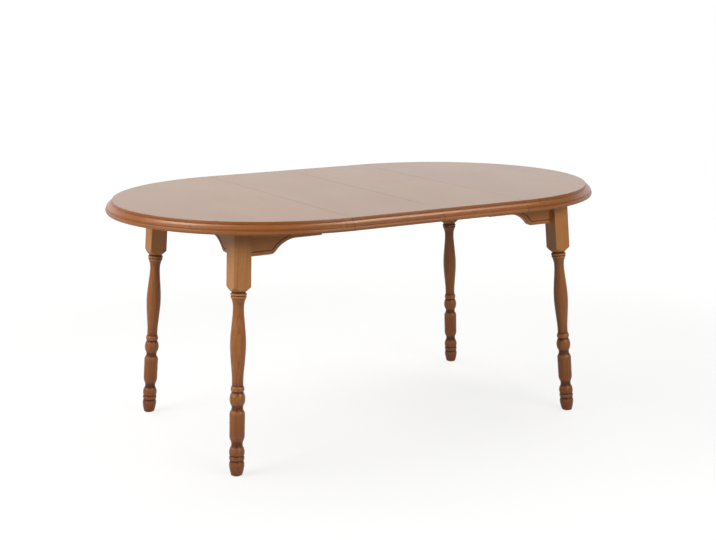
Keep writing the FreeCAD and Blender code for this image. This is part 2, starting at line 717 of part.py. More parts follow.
def make_nut(bolt):
    washer = along_diagonal(cylinder("Washer", "Sizes.washerDiameter / 2", "Sizes.washerThickness"),
                            f"{PLATE_FROM_AXIS} + Sizes.bracketThickness")
    hexagon = doc.addObject("Part::Prism", "Hexagon")
    hexagon.Polygon = 6
    hexagon.setExpression("Circumradius", "Sizes.nutFlats / sqrt(3)")
    hexagon.setExpression("Height", size("nutHeight"))
    along_diagonal(hexagon, f"{PLATE_FROM_AXIS} + Sizes.bracketThickness + Sizes.washerThickness")
    return cut("Nut", fuse("NutBlank", [washer, hexagon]), bolt)


def make_glue_blocks():
    side = size("glueBlockSide")
    # A side block has its place in the room between the seam and the bracket's flange
    room = f"({PLATE_AT_SIDE_X} - Sizes.bracketFlange - {HALF_START} - Sizes.glueBlockLength)"
    start = f"({HALF_START} + {GLUE_BLOCK_PLACE_SHARE} * {room})"
    beside = outline_body("SideGlueBlock", "YZ_Plane", [
        (f"-{APRON_SIDE_INSIDE}", UNDERSIDE), (f"-{APRON_SIDE_INSIDE}", f"{UNDERSIDE} - {side}"),
        (f"-{APRON_SIDE_INSIDE} + {side}", UNDERSIDE)],
        size("glueBlockLength"), f"-{start} - Sizes.glueBlockLength")
    half = f"({END_GLUE_BLOCK_SHARE} * {slide_inner_face(2)})"
    across = outline_body("EndGlueBlock", "XZ_Plane", [
        (f"-{APRON_END_INSIDE}", UNDERSIDE), (f"-{APRON_END_INSIDE}", f"{UNDERSIDE} - {side}"),
        (f"-{APRON_END_INSIDE} + {side}", UNDERSIDE)],
        f"2 * {half}", f"-{half}")
    behind = to_rear("SideGlueBlockRear", beside)
    finish_halves("glue_blocks_{}", group("GlueBlocks", [beside, behind, across]))


# Slides: three wooden members side by side, joined by dovetail tongues that run in grooves
def slide_inner_face(position):
    return f"({APRON_SIDE_INSIDE} - Sizes.slideBay - Sizes.slideWidth - {position} * {SLIDE_PITCH})"


def make_slide(name, position, start, top_gap, tongue, groove):
    """A front member. Position 0 is nearest the side apron, and tongues point outwards."""
    inner = slide_inner_face(position)
    outer = f"({inner} + Sizes.slideWidth)"
    middle = f"({UNDERSIDE} - Sizes.slideDepth / 2)"
    flare = "((Sizes.tongueTip - Sizes.tongueRoot) / 2 / Sizes.tongueHeight)"
    play = size("tongueClearance")
    root, tip = "(Sizes.tongueRoot / 2)", "(Sizes.tongueTip / 2)"
    points = [(f"-{outer}", f"{UNDERSIDE} - {top_gap}")]
    if tongue:
        points += [
            (f"-{outer}", f"{middle} + {root}"),
            (f"-{outer} - Sizes.tongueHeight", f"{middle} + {tip}"),
            (f"-{outer} - Sizes.tongueHeight", f"{middle} - {tip}"),
            (f"-{outer}", f"{middle} - {root}"),
        ]
    bottom_edge = f"{UNDERSIDE} - Sizes.slideDepth"
    points += [(f"-{outer}", bottom_edge), (f"-{inner}", bottom_edge)]
    if groove:
        mouth = f"({root} + {flare} * Sizes.slideSideGap + {play})"
        bottom = f"({root} + {flare} * (Sizes.tongueHeight + {play}) + {play})"
        depth = f"(Sizes.tongueHeight - Sizes.slideSideGap + {play})"
        points += [
            (f"-{inner}", f"{middle} - {mouth}"),
            (f"-{inner} - {depth}", f"{middle} - {bottom}"),
            (f"-{inner} - {depth}", f"{middle} + {bottom}"),
            (f"-{inner}", f"{middle} + {mouth}"),
        ]
    points += [(f"-{inner}", f"{UNDERSIDE} - {top_gap}")]
    return outline_body(name, "YZ_Plane", points, size("slideLength"), start)


# Panels
def make_half_panel():
    body = outline_body("HalfPanel", "XY_Plane", [
        ("0", FLAT_RADIUS, FLAT_RADIUS, 1),
        (f"-{FLAT_RADIUS}", "0", FLAT_RADIUS, 1),
        ("0", f"-{FLAT_RADIUS}"),
    ], size("panelThickness"), UNDERSIDE)
    top = value(size("tableHeight"))
    blank = body.Tip
    ease = body.newObject("PartDesign::Chamfer", "HalfPanelEase")
    ease.Base = (blank, edges_where(blank, lambda edge: near(edge.BoundBox.ZMin, top)
                                    and near(edge.BoundBox.XMin, 0)))
    ease.setExpression("Size", size("seamEase"))
    body.setExpression("Placement.Base.x", f"-{HALF_START}")
    return body


def make_leaf_panel():
    outer, inner = f"-({SEAM} - Sizes.seamGap / 2)", "-(Sizes.seamGap / 2)"
    return outline_body("LeafPanel", "XZ_Plane", [
        (outer, UNDERSIDE), (inner, UNDERSIDE),
        (inner, "Sizes.tableHeight - Sizes.seamEase"), (f"{inner} - Sizes.seamEase", size("tableHeight")),
        (f"{outer} + Sizes.seamEase", size("tableHeight")), (outer, "Sizes.tableHeight - Sizes.seamEase")],
        f"2 * {FLAT_RADIUS}", f"-{FLAT_RADIUS}")


def make_table():
    outer_line = f"-({slide_inner_face(0)} + Sizes.slideWidth / 2)"
    inner_line = f"-({slide_inner_face(2)} + Sizes.slideWidth / 2)"
    left_screws = make_slide_screws("Outer", outer_line)
    right_screws = to_right("InnerSlideScrewsRight", make_slide_screws("Inner", inner_line))
    pins = make_pins()
    pivots = make_post("Pivot", f"-{CATCH_X}")
    keepers = make_post("Keeper", f"-({SEAM} - Sizes.seamGap / 2 - Sizes.catchOffset)")

    panel = make_half_panel()
    left_fixings = group("LeftPanelFixings", [left_screws, pins, pivots])
    pins_right = to_right("PinsRight", pins)
    pivots_right = to_right("PivotsRight", pivots)
    right_fixings = group("RightPanelFixings", [right_screws, pins_right, pivots_right])
    finish(cut("LeftPanelDrilled", panel, left_fixings), "top_panel_left")
    finish(cut("RightPanelDrilled", to_right("HalfPanelRight", panel), right_fixings), "top_panel_right")
    make_half_moulding()
    leaf = cut("LeafPanelSlotted", make_leaf_panel(), make_pin_slots())
    finish_halves("leaf_panel_{}", cut("LeafPanelDrilled", leaf, keepers))
    make_leaf_moulding()

    leg = make_leg_blank()
    bolt = along_diagonal(cylinder("Bolt", "Sizes.boltDiameter / 2", "Sizes.boltLength"), size("boltStart"))
    screws = make_bracket_screws()
    finish_corners("leg_{}_{}", cut("LegDrilled", leg, bolt))
    make_glides()
    side = cut("SideApronFitted", make_side_apron(), leg)
    finish_corners("side_apron_{}_{}", cut("SideApronDrilled", side, screws))
    both_legs = both_sides("LegPair", leg)
    both_screws = both_sides("BracketScrewPair", screws)
    end = cut("EndApronFitted", make_end_apron(), both_legs)
    finish_halves("end_apron_{}", cut("EndApronDrilled", end, both_screws))
    hole = along_diagonal(cylinder("BoltHole", "Sizes.boltDiameter / 2 + Sizes.boltHoleClearance",
                                   "Sizes.bracketThickness + 2 * Sizes.overrun"),
                          f"{PLATE_FROM_AXIS} - Sizes.overrun")
    plate = cut("BracketBored", make_bracket_plate(), hole)
    finish_corners("corner_bracket_{}_{}", cut("BracketDrilled", plate, screws))
    finish_halves("hanger_bolts_{}", both_sides("Bolts", bolt))
    finish_halves("bolt_nuts_{}", both_sides("Nuts", make_nut(bolt)))
    finish_halves("bracket_screws_{}", both_screws)
    make_glue_blocks()

    outer = make_slide("OuterSlide", 0, f"-{SLIDE_START}", "0", False, True)
    middle = make_slide("MiddleSlide", 1, "-Sizes.slideLength / 2", size("slideTopGap"), True, True)
    inner = make_slide("InnerSlide", 2, f"{SLIDE_START} - Sizes.slideLength", "0", True, False)
    outer_front = cut("OuterSlideDrilled", outer, left_screws)
    inner_front = cut("InnerSlideDrilled", inner, right_screws)
    for label, front in (("outer", outer_front), ("middle", middle), ("inner", inner_front)):
        rear = to_rear(f"{label}SlideRear", front)
        finish(front, f"slide_{label}_front")
        finish(rear, f"slide_{label}_rear")
    finish(left_screws, "slide_screws_left")
    finish(right_screws, "slide_screws_right")
    finish(pins, "table_pins_left")
    finish(pins_right, "table_pins_right")
    finish(pivots, "catch_pivots_left")
    finish(pivots_right, "catch_pivots_right")
    finish_halves("catch_keepers_{}", keepers)
    make_catch()


make_table()
doc.recompute()
failed = [item.Label for item in doc.Objects if {"Invalid", "Error"} & set(item.State)]
if failed:
    raise RuntimeError("did not recompute: " + ", ".join(failed))
for part in subparts:
    if part.Shape.isNull() or not part.Shape.isValid() or not part.Shape.Solids:
        raise RuntimeError("not a sound solid: " + part.Label)
if len({part.Label for part in subparts}) != len(subparts):
    raise RuntimeError("two sub-parts share a name")

os.makedirs("parts", exist_ok=True)
for part in subparts:
    part.Shape.exportStep(f"parts/{part.Label}.step")
print(f"{len(subparts)} sub-parts written")
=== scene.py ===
import math
import bpy
import numpy as np
from mathutils import Matrix, Vector


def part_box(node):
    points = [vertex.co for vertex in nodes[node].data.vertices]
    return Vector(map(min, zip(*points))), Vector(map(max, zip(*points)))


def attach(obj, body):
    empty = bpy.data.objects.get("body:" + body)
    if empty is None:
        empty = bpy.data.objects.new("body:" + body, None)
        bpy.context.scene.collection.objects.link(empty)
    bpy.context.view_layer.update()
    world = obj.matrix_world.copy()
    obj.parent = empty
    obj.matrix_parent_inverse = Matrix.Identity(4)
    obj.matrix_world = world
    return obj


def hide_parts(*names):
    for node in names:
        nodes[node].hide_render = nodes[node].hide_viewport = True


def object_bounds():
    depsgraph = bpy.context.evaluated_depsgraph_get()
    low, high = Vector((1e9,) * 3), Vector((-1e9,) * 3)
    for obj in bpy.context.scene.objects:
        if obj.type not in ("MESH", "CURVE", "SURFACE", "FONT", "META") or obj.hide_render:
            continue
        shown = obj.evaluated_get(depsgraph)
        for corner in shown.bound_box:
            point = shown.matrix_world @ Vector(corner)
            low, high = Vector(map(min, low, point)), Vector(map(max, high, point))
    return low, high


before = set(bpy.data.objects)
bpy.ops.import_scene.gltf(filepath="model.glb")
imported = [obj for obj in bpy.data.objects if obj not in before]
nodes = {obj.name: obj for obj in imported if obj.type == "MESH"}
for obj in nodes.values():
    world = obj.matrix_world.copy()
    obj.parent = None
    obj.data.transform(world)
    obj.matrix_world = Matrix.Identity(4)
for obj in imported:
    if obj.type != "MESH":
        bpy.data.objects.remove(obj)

# Extending dining table: stained and lacquered beech, veneered top, turned legs, wooden slides below.
# Lengths are in metres. X runs along the table, Y from front to rear, Z up from the floor.

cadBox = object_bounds()
sides = {"left": -1, "right": 1}
depths = {"front": -1, "rear": 1}
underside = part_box("top_panel_left")[0].z
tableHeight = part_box("top_panel_left")[1].z
# The outer joints are at X = -seam and X = seam, and each leaves a gap between its two panels
seam = (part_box("top_panel_left")[1].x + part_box("leaf_panel_left")[0].x) / -2
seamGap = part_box("leaf_panel_left")[0].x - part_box("top_panel_left")[1].x
print("frame loaded:", len(nodes), "nodes")


class Socket:
    # A shader value that takes part in plain sums. Every operator adds one Math node.
    def __init__(self, tree, output=None):
        self.tree = tree
        self.output = output

    def node(self, kind, settings=None, inputs=None, output=0):
        # Adds any node: its settings first, then its sockets' values or links
        made = self.tree.nodes.new(kind)
        for key, setting in (settings or {}).items():
            if key != "stops":
                setattr(made, key, setting)
                continue
            stops = made.color_ramp.elements
            while len(stops) < len(setting):
                stops.new(1)
            for stop, (place, shade) in zip(stops, setting):
                stop.position = place
                stop.color = (*shade, 1) if isinstance(shade, tuple) else (shade, shade, shade, 1)
        for key, given in (inputs or {}).items():
            if isinstance(given, Socket):
                self.tree.links.new(given.output, made.inputs[key])
            else:
                made.inputs[key].default_value = given
        return Socket(self.tree, made.outputs[output])

    def math(self, operation, first, second=0.0, third=0.0):
        return self.node("ShaderNodeMath", {"operation": operation}, {0: first, 1: second, 2: third})

    def __add__(self, other):
        return self.math("ADD", self, other)

    def __sub__(self, other):
        return self.math("SUBTRACT", self, other)

    def __rsub__(self, other):
        return self.math("SUBTRACT", other, self)

    def __mul__(self, other):
        return self.math("MULTIPLY", self, other)

    def __truediv__(self, other):
        return self.math("DIVIDE", self, other)

    def __pow__(self, other):
        return self.math("POWER", self, other)

    __radd__ = __add__
    __rmul__ = __mul__

    def between(self, low, high):
        # 0 below low, 1 above high, with soft ends
        return self.node("ShaderNodeMapRange", {"interpolation_type": "SMOOTHSTEP"},
                         {"Value": self, "From Min": low, "From Max": high})

    def scaled(self, scale, offset=(0, 0, 0)):
        # A vector times a scale for each axis, then moved
        return self.node("ShaderNodeVectorMath", {"operation": "MULTIPLY_ADD"},
                         {0: self, 1: scale, 2: offset})

    def noise(self, scale, detail=2.0, rough=0.5, offset=(0, 0, 0)):
        return self.node("ShaderNodeTexNoise", {}, {
            "Vector": self.scaled(scale, offset), "Scale": 1.0, "Detail": detail, "Roughness": rough})

    def mixed(self, dark, light):
        # Between two colours, by this value
        return self.node("ShaderNodeMix", {"data_type": "RGBA"}, {0: self, 6: dark, 7: light}, 2)


def linear(red, green, blue):
    # A colour as a screen shows it, 0 to 255, made linear
    shares = np.array([red, green, blue]) / 255
    return tuple(np.where(shares > 0.04045, ((shares + 0.055) / 1.055) ** 2.4, shares / 12.92)) + (1,)


def newMaterial(name):
    # The material, a socket of its tree to build with, and its shader
    material = bpy.data.materials.new(name)
    material.use_nodes = True
    tree = material.node_tree
    shader = tree.nodes["Principled BSDF"]
    return material, Socket(tree), shader


def feed(shader, **inputs):
    # Plain numbers go onto the shader's own sockets, and worked-out values are linked
    for name, given in inputs.items():
        socket = shader.inputs[name.replace("_", " ")]
        if isinstance(given, Socket):
            given.tree.links.new(given.output, socket)
        else:
            socket.default_value = given


def bumpFrom(at, height, look):
    # A bump that is a value times the look's bump height
    return at.node("ShaderNodeBump", {}, {
        "Strength": look["bump"], "Distance": look["bumpHeight"], "Height": height})


def ramp(*stops):
    # The stops of a colour ramp, each given as its place, red, green and blue
    return [(place, linear(*shade)[:3]) for place, *shade in stops]


# Wood. The grain runs along the third coordinate of a piece's own wood space, in metres. These turns bring
# object coordinates to that for grain along X or Y.
grainTurns = {"x": (0, -math.pi / 2, 0), "y": (math.pi / 2, 0, 0)}
# Scale on each axis of wood space, detail, roughness and offset
woodNoises = {
    "drift": ((4.0, 4.0, 0.9), 2.0),
    "swirl": ((22.0, 22.0, 1.6), 2.0, 0.5, (5, 2, 9)),
    "ringTone": ((30.0, 30.0, 1.0), 1.0, 0.5, (1, 7, 3)),
    "fibre": ((1400.0, 1400.0, 22.0), 3.0, 0.6),
    "streak": ((260.0, 260.0, 3.5), 2.0, 0.6, (3, 1, 8)),
    "pore": ((2600.0, 2600.0, 160.0), 1.0, 0.5, (9, 4, 2)),
    "fleck": ((900.0, 900.0, 190.0), 0.0, 0.5, (2, 6, 5)),
    "broad": ((7.0, 7.0, 1.1), 2.0, 0.5, (8, 8, 1)),
    "smear": ((9.0, 9.0, 5.0), 3.0, 0.6, (4, 4, 4)),
}


def woodSpace(at, grain):
    # The mesh's own grain attribute, or object coordinates turned so that their Z runs along the grain
    if grain == "own":
        return at.node("ShaderNodeAttribute", {"attribute_name": "grain"}, {}, "Vector")
    place = at.node("ShaderNodeTexCoord", {}, {}, "Object")
    return at.node("ShaderNodeMapping", {}, {"Vector": place, "Rotation": grainTurns[grain]})


def woodMaterial(name, look, grain):
    # Tone = rings + streaks + fibres + broad shades + stain, painted shade and painted highlights. A ramp
    # turns it into a colour, which pores and flecks darken.
    material, at, shader = newMaterial(name)
    wood = woodSpace(at, grain)
    across, depth = (wood.node("ShaderNodeSeparateXYZ", {}, {0: wood}, letter) for letter in "XY")
    noises = {kind: wood.noise(*given) for kind, given in woodNoises.items()}
    # Growth rings: distance from a pith outside the piece, bent by slow noise
    pithX, pithY = look["pith"]
    fromPith = ((across - pithX) ** 2 + (depth - pithY) ** 2) ** 0.5
    ring = (fromPith + noises["drift"] * look["drift"] + noises["swirl"] * look["swirl"]) / look["ringWidth"]
    phase = at.math("FRACT", ring)
    late = phase ** look["lateWood"] * (1 - phase.between(*look["ringEnd"]))
    ringTone = noises["ringTone"].between(*look["ringToneLimits"])
    # Fibres, pores and the short dark flecks of beech, all drawn out along the grain
    fibre, streak, broad = noises["fibre"], noises["streak"], noises["broad"]
    pore = noises["pore"].between(*look["poreLimits"])
    fleck = noises["fleck"].between(*look["fleckLimits"])
    tone = (late * ringTone * look["ringDepth"] + (streak - 0.5) * look["streakDepth"]
            + (fibre - 0.5) * look["fibreDepth"] + (broad - 0.5) * look["broadDepth"] + look["tone"])
    if look.get("leafWidth"):
        # Veneer is laid in leaves side by side, each a shade apart, the first round the piece's origin
        leaf = at.math("FLOOR", across / look["leafWidth"] + 0.5)
        leafTone = at.node("ShaderNodeTexWhiteNoise", {"noise_dimensions": "1D"}, {"W": leaf}, "Value")
        tone = tone + (leafTone - 0.5) * look["leafDepth"]
    if look.get("hollow"):
        # From the mesh: stain, painted shade and a painted highlight on the proud edges
        hollow = at.node("ShaderNodeAttribute", {"attribute_name": "hollow"}, {}, "Fac")
        tone = tone + hollow * look["hollow"]
    if look.get("grooveShade"):
        # Painted shade darkens the routed groove, from ambient occlusion within the piece
        openness = at.node("ShaderNodeAmbientOcclusion", {"samples": 8, "only_local": True},
                           {"Distance": look["creaseReach"]}, "AO")
        tone = tone + (1 - openness) * look["grooveShade"]
    shade = tone.node("ShaderNodeValToRGB", {"stops": look["stops"]}, {"Fac": tone})
    marks = (pore * look["poreDepth"] + fleck * look["fleckDepth"]).between(0.0, 1.0)
    colour = marks.mixed(shade, look["stops"][-1][1] + (1,))
    rough = look["roughness"] + (noises["smear"] - 0.5) * look["smear"] + pore * look["poreRough"]
    if look.get("turnedGloss"):
        # Turned wood, which has taken more stain, is glossier than the planed block
        rough = rough - at.math("MINIMUM", hollow * 2, 1.0) * look["turnedGloss"]
    if look.get("backing"):
        # The panel's underside has a plain backing veneer without lacquer
        normal = at.node("ShaderNodeNewGeometry", {}, {}, "Normal")
        below = at.node("ShaderNodeSeparateXYZ", {}, {0: normal}, "Z").between(*look["backingFaces"])
        backing = tone.node("ShaderNodeValToRGB", {"stops": look["backing"]}, {"Fac": tone})
        colour = below.mixed(colour, backing)
        rough = rough + below * look["backingRough"]
    grainBump = bumpFrom(at, fibre * 0.5 + streak * 0.5 - pore, look)
    feed(shader, Base_Color=colour, Roughness=rough, Normal=grainBump, Specular_IOR_Level=look["specular"])
    return material


stain = {
    "stops": ramp((0.0, 200, 147, 92), (0.3, 174, 118, 65), (0.55, 148, 91, 47), (0.8, 114, 62, 31),
                  (1.0, 68, 33, 17)),
    "pith": (0.11, 0.07), "ringWidth": 0.0042, "drift": 0.03, "swirl": 0.006, "lateWood": 2.5,
    "ringEnd": (0.93, 1.0), "ringToneLimits": (0.25, 0.75), "poreLimits": (0.62, 0.74),
    "fleckLimits": (0.66, 0.74), "ringDepth": 0.16, "streakDepth": 0.36, "fibreDepth": 0.18,
    "broadDepth": 0.22, "poreDepth": 0.35, "fleckDepth": 0.35, "tone": 0.3,
    "roughness": 0.38, "poreRough": 0.06, "smear": 0.1, "bump": 0.25, "bumpHeight": 0.0002, "specular": 0.28,
}
legLook = stain | {"hollow": 0.44, "tone": 0.28, "turnedGloss": 0.08, "specular": 0.4}
edgeLook = stain | {"hollow": 0.15, "pith": (0.2, 0.05), "tone": 0.52, "roughness": 0.26, "specular": 0.5,
                    "streakDepth": 0.16, "broadDepth": 0.24}
apronLook = stain | {
    "stops": ramp((0.0, 200, 142, 91), (0.3, 174, 114, 65), (0.55, 148, 87, 47), (0.8, 114, 59, 31),
                  (1.0, 68, 32, 17)),
    # Painted shade in the routed groove, and how far the occlusion looks
    "pith": (0.02, 0.3), "tone": 0.16, "grooveShade": 0.9, "creaseReach": 0.006,
}
veneerLook = stain | {
    "stops": ramp((0.0, 186, 150, 84), (0.3, 162, 121, 58), (0.55, 138, 93, 42), (0.8, 106, 64, 27),
                  (1.0, 62, 34, 15)),
    "backing": ramp((0.0, 196, 164, 122), (0.5, 172, 136, 94), (1.0, 132, 97, 62)),
    "backingFaces": (-0.4, -0.6), "backingRough": 0.4, "leafWidth": 0.15, "leafDepth": 0.05,
    "pith": (0.9, 0.35), "ringWidth": 0.011, "drift": 0.09, "ringDepth": 0.12, "streakDepth": 0.2,
    "broadDepth": 0.12, "tone": 0.57, "roughness": 0.22, "smear": 0.04, "specular": 0.55,
}
plainLook = stain | {
    "stops": ramp((0.0, 222, 188, 143), (0.35, 208, 171, 124), (0.7, 186, 146, 101), (1.0, 140, 101, 66)),
    "roughness": 0.6, "bump": 0.5,
}

materials = {
    "leg": woodMaterial("stainedBeechTurned", legLook, "own"),
    "edge": woodMaterial("stainedBeechEdge", edgeLook, "own"),
    "apronAcross": woodMaterial("stainedBeechAcross", apronLook, "y"),
    "apronAlong": woodMaterial("stainedBeechAlong", apronLook, "x"),
    "veneer": woodMaterial("stainedVeneer", veneerLook, "y"),
    "plainAlong": woodMaterial("planedBeech", plainLook, "x"),
}


# Zinc plated steel: patches of bloom, and fine brushing along Z
metal = {
    "bloom": ((90.0, 90.0, 90.0), 3.0, 0.6),
    "brush": ((1500.0, 1500.0, 300.0), 2.0),
    "bloomLimits": (0.3, 0.7),
    "dull": linear(168, 168, 162),
    "bright": linear(196, 195, 184),
    "roughness": 0.28,
    "bloomRough": 0.2,
    "bump": 0.15,
    "bumpHeight": 0.0001,
}


def metalMaterial():
    material, at, shader = newMaterial("zincPlatedSteel")
    place = at.node("ShaderNodeTexCoord", {}, {}, "Object")
    bloom = place.noise(*metal["bloom"])
    colour = bloom.between(*metal["bloomLimits"]).mixed(metal["dull"], metal["bright"])
    feed(shader, Base_Color=colour, Metallic=1.0, Roughness=bloom * metal["bloomRough"] + metal["roughness"],
         Normal=bumpFrom(at, place.noise(*metal["brush"]), metal))
    return material


# Matt brown plastic with a fine mottle
plastic = {
    "mottle": ((700.0, 700.0, 700.0), 3.0),
    "dark": linear(62, 42, 31),
    "light": linear(78, 54, 40),
    "roughness": 0.45,
    "mottleRough": 0.15,
    "bump": 0.3,
    "bumpHeight": 0.0001,
}


def plasticMaterial():
    material, at, shader = newMaterial("glidePlastic")
    mottle = at.node("ShaderNodeTexCoord", {}, {}, "Object").noise(*plastic["mottle"])
    rough = mottle * plastic["mottleRough"] + plastic["roughness"]
    feed(shader, Base_Color=mottle.mixed(plastic["dark"], plastic["light"]), Roughness=rough,
         Normal=bumpFrom(at, mottle, plastic))
    return material


materials["steel"] = metalMaterial()
materials["plastic"] = plasticMaterial()
print("materials made:", len(materials))


# Profiles, as rows of points, and the meshes made from them
def arcThrough(start, middle, end, count):
    # Points on the circle through three points, from the first to the last
    a, b, c = (np.array(point, float) for point in (start, middle, end))
    matrix = 2 * np.array([b - a, c - a])
    centre = np.linalg.solve(matrix, [b @ b - a @ a, c @ c - a @ a])
    angles = np.unwrap([math.atan2(*(point - centre)[::-1]) for point in (a, b, c)])
    turn = np.linspace(angles[0], angles[2], count)
    return centre + np.linalg.norm(a - centre) * np.stack([np.cos(turn), np.sin(turn)], 1)


def curveThrough(points, count):
    # Natural cubic through the points, stepped by the distance between them
    points = np.array(points, float)
    places = np.append(0, np.cumsum(np.linalg.norm(np.diff(points, axis=0), axis=1)))
    step = np.diff(places)
    size = len(points)
    matrix = np.eye(size)
    slopes = np.diff(points, axis=0) / step[:, None]
    right = np.zeros_like(points)
    inner = np.arange(1, size - 1)
    matrix[inner, inner - 1] = step[:-1]
    matrix[inner, inner] = 2 * (step[:-1] + step[1:])
    matrix[inner, inner + 1] = step[1:]
    right[1:-1] = 6 * np.diff(slopes, axis=0)
    bend = np.linalg.solve(matrix, right)
    at = np.linspace(0, places[-1], count)
    cell = np.clip(np.searchsorted(places, at, side="right") - 1, 0, size - 2)
    after = (at - places[cell])[:, None]
    before = step[cell][:, None] - after
    width = step[cell][:, None]
    return (bend[cell] * before ** 3 + bend[cell + 1] * after ** 3) / (6 * width) + (
        points[cell] / width - bend[cell] * width / 6) * before + (
        points[cell + 1] / width - bend[cell + 1] * width / 6) * after


def evenly(points, spacing):
    # The same line with points at even distances, its two ends kept
    lengths = np.append(0, np.cumsum(np.linalg.norm(np.diff(points, axis=0), axis=1)))
    at = np.linspace(0, lengths[-1], max(2, int(lengths[-1] / spacing) + 1))
    return np.stack([np.interp(at, lengths, column) for column in points.T], 1)


sharpAngle = math.radians(35)


def gridMesh(name, grid, grain=None, hollow=None):
    # One or more surfaces from rows of points. Each row is a closed ring, and flat faces close the first and
    # last. Faces that meet at more than the sharp angle keep a sharp edge.
    rows, columns = grid.shape[-3:-1]
    mesh = bpy.data.meshes.new(name)
    index = np.arange(grid.size // 3).reshape(-1, rows, columns)
    beside = np.roll(index, -1, 2)
    quads = np.stack([index[:, :-1], beside[:, :-1], beside[:, 1:], index[:, 1:]], -1).reshape(-1, 4)
    faces = quads.tolist() + index[:, 0, ::-1].tolist() + index[:, -1].tolist()
    mesh.from_pydata(grid.reshape(-1, 3).tolist(), [], faces)
    if grain is not None:
        attribute = mesh.attributes.new("grain", "FLOAT_VECTOR", "POINT")
        attribute.data.foreach_set("vector", grain.astype(np.float32).ravel())
    if hollow is not None:
        attribute = mesh.attributes.new("hollow", "FLOAT", "POINT")
        attribute.data.foreach_set("value", hollow.astype(np.float32).ravel())
    mesh.polygons.foreach_set("use_smooth", np.ones(len(faces), bool))
    mesh.set_sharp_from_angle(angle=sharpAngle)
    mesh.validate()
    piece = bpy.data.objects.new(name, mesh)
    bpy.context.scene.collection.objects.link(piece)
    return piece


def addPiece(piece, material, slot, body, *standsFor):
    # Gives a piece its material, the body that it rides on and the CAD nodes that it stands for
    piece.data.materials.append(material)
    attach(piece, body)
    if standsFor:
        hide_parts(*standsFor)


# Legs: a profile turned about the leg's axis, with the square block as a limit on the radius
leg = {
    "splayEnd": math.radians(3.51),
    "splaySide": math.radians(2.95),
    "blockSide": 0.054,
    "blockArris": 0.002,
    "turnedLength": 0.537,
    "shoulderHeight": 0.017,
    "shoulderRadius": 0.021,
    "rowSpacing": 0.0012,
    "arcPoints": 60,
    "curvePoints": 400,
    "shoulderRows": 16,
    "blockRows": 12,
    "overrun": 0.004,
    "faceColumns": 18,
    "cornerColumns": 6,
    # Rows on each side that a groove is measured against, and the depth that takes the full stain and painted
    # shade
    "grooves": [(14, 0.0035), (4, 0.0007)],
    # Painted highlight on the beads' crests, stain on the turned wood, and painted shade growing towards the
    # foot
    "crestHighlight": 0.4,
    "turnedTone": 0.45,
    "footShade": 0.56,
    "toneEnd": 0.002,
    # Each leg is cut from its own place in the wood
    "grainStart": (0.05, 0.0, 0.0),
    "grainStepSide": (0.3, 0.0, 1.7),
    "grainStepDepth": (0.0, 0.2, 0.9),
}
# Heights are shares of the turned length, radii are shares of half the block's side
turning = [
    ("line", [(1.0, 0.76), (0.994, 0.76)]),
    ("arc", [(0.994, 0.76), (0.987, 0.89), (0.98, 0.80)]),
    ("arc", [(0.98, 0.80), (0.973, 0.85), (0.965, 0.78)]),
    ("curve", [(0.965, 0.78), (0.944, 0.65), (0.908, 0.59), (0.848, 0.67), (0.793, 0.77), (0.748, 0.835),
               (0.71, 0.85), (0.673, 0.825), (0.63, 0.765), (0.577, 0.675), (0.535, 0.615), (0.493, 0.61)]),
    ("arc", [(0.493, 0.61), (0.476, 0.735), (0.459, 0.63)]),
    ("arc", [(0.459, 0.63), (0.42, 0.84), (0.39, 0.71)]),
    ("line", [(0.39, 0.71), (0.387, 0.67)]),
    ("arc", [(0.387, 0.67), (0.374, 0.617), (0.36, 0.665)]),
    ("arc", [(0.36, 0.665), (0.351, 0.775), (0.337, 0.83)]),
    ("line", [(0.337, 0.83), (0.219, 0.82)]),
    ("arc", [(0.219, 0.82), (0.2035, 0.775), (0.192, 0.69)]),
    ("arc", [(0.192, 0.69), (0.175, 0.607), (0.16, 0.65)]),
    ("arc", [(0.16, 0.65), (0.139, 0.815), (0.113, 0.795)]),
    ("line", [(0.113, 0.795), (0.110, 0.745)]),
    ("line", [(0.110, 0.745), (0.108, 0.775)]),
    ("arc", [(0.108, 0.775), (0.0965, 0.825), (0.085, 0.775)]),
    ("line", [(0.085, 0.775), (0.081, 0.735)]),
    ("line", [(0.081, 0.735), (0.077, 0.77)]),
    ("curve", [(0.077, 0.77), (0.065, 0.82), (0.043, 0.785), (0.022, 0.705), (0.007, 0.625), (-0.006, 0.56)]),
]


def turnedProfile():
    # (height, radius) up the turned length, in metres
    half = leg["blockSide"] / 2
    unit = np.array([leg["turnedLength"], half])
    runs = []
    for kind, stations in turning:
        points = np.array(stations) * unit
        if kind == "arc":
            points = arcThrough(*points, leg["arcPoints"])
        elif kind == "curve":
            points = curveThrough(points, leg["curvePoints"])
        runs.append(evenly(points, leg["rowSpacing"])[:-1])
    runs.append(points[-1:])
    return np.concatenate(runs)[::-1]


def blockAngles():
    # Directions round the leg, closer together at the rounded corners of the block
    half, arris = leg["blockSide"] / 2, leg["blockArris"]
    corner = math.pi / 4 - math.atan2(half - arris, half)
    flat = np.linspace(corner - math.pi / 4, math.pi / 4 - corner, leg["faceColumns"])
    bend = np.linspace(math.pi / 4 - corner, math.pi / 4 + corner, leg["cornerColumns"] + 2)[1:-1]
    quarter = np.concatenate([flat, bend])
    return np.concatenate([quarter + turn * math.pi / 2 for turn in range(4)])


def blockRadius(angles):
    # Distance from the axis to a square with rounded corners, in each direction
    half, arris = leg["blockSide"] / 2, leg["blockArris"]
    folded = (angles + math.pi / 4) % (math.pi / 2) - math.pi / 4
    flat = half / np.cos(folded)
    centre = math.sqrt(2) * (half - arris)
    off = math.pi / 4 - np.abs(folded)
    inside = np.maximum(arris ** 2 - (centre * np.sin(off)) ** 2, 0)
    bend = centre * np.cos(off) + np.sqrt(inside)
    onBend = off < math.pi / 4 - math.atan2(half - arris, half)
    return np.where(onBend, bend, flat)


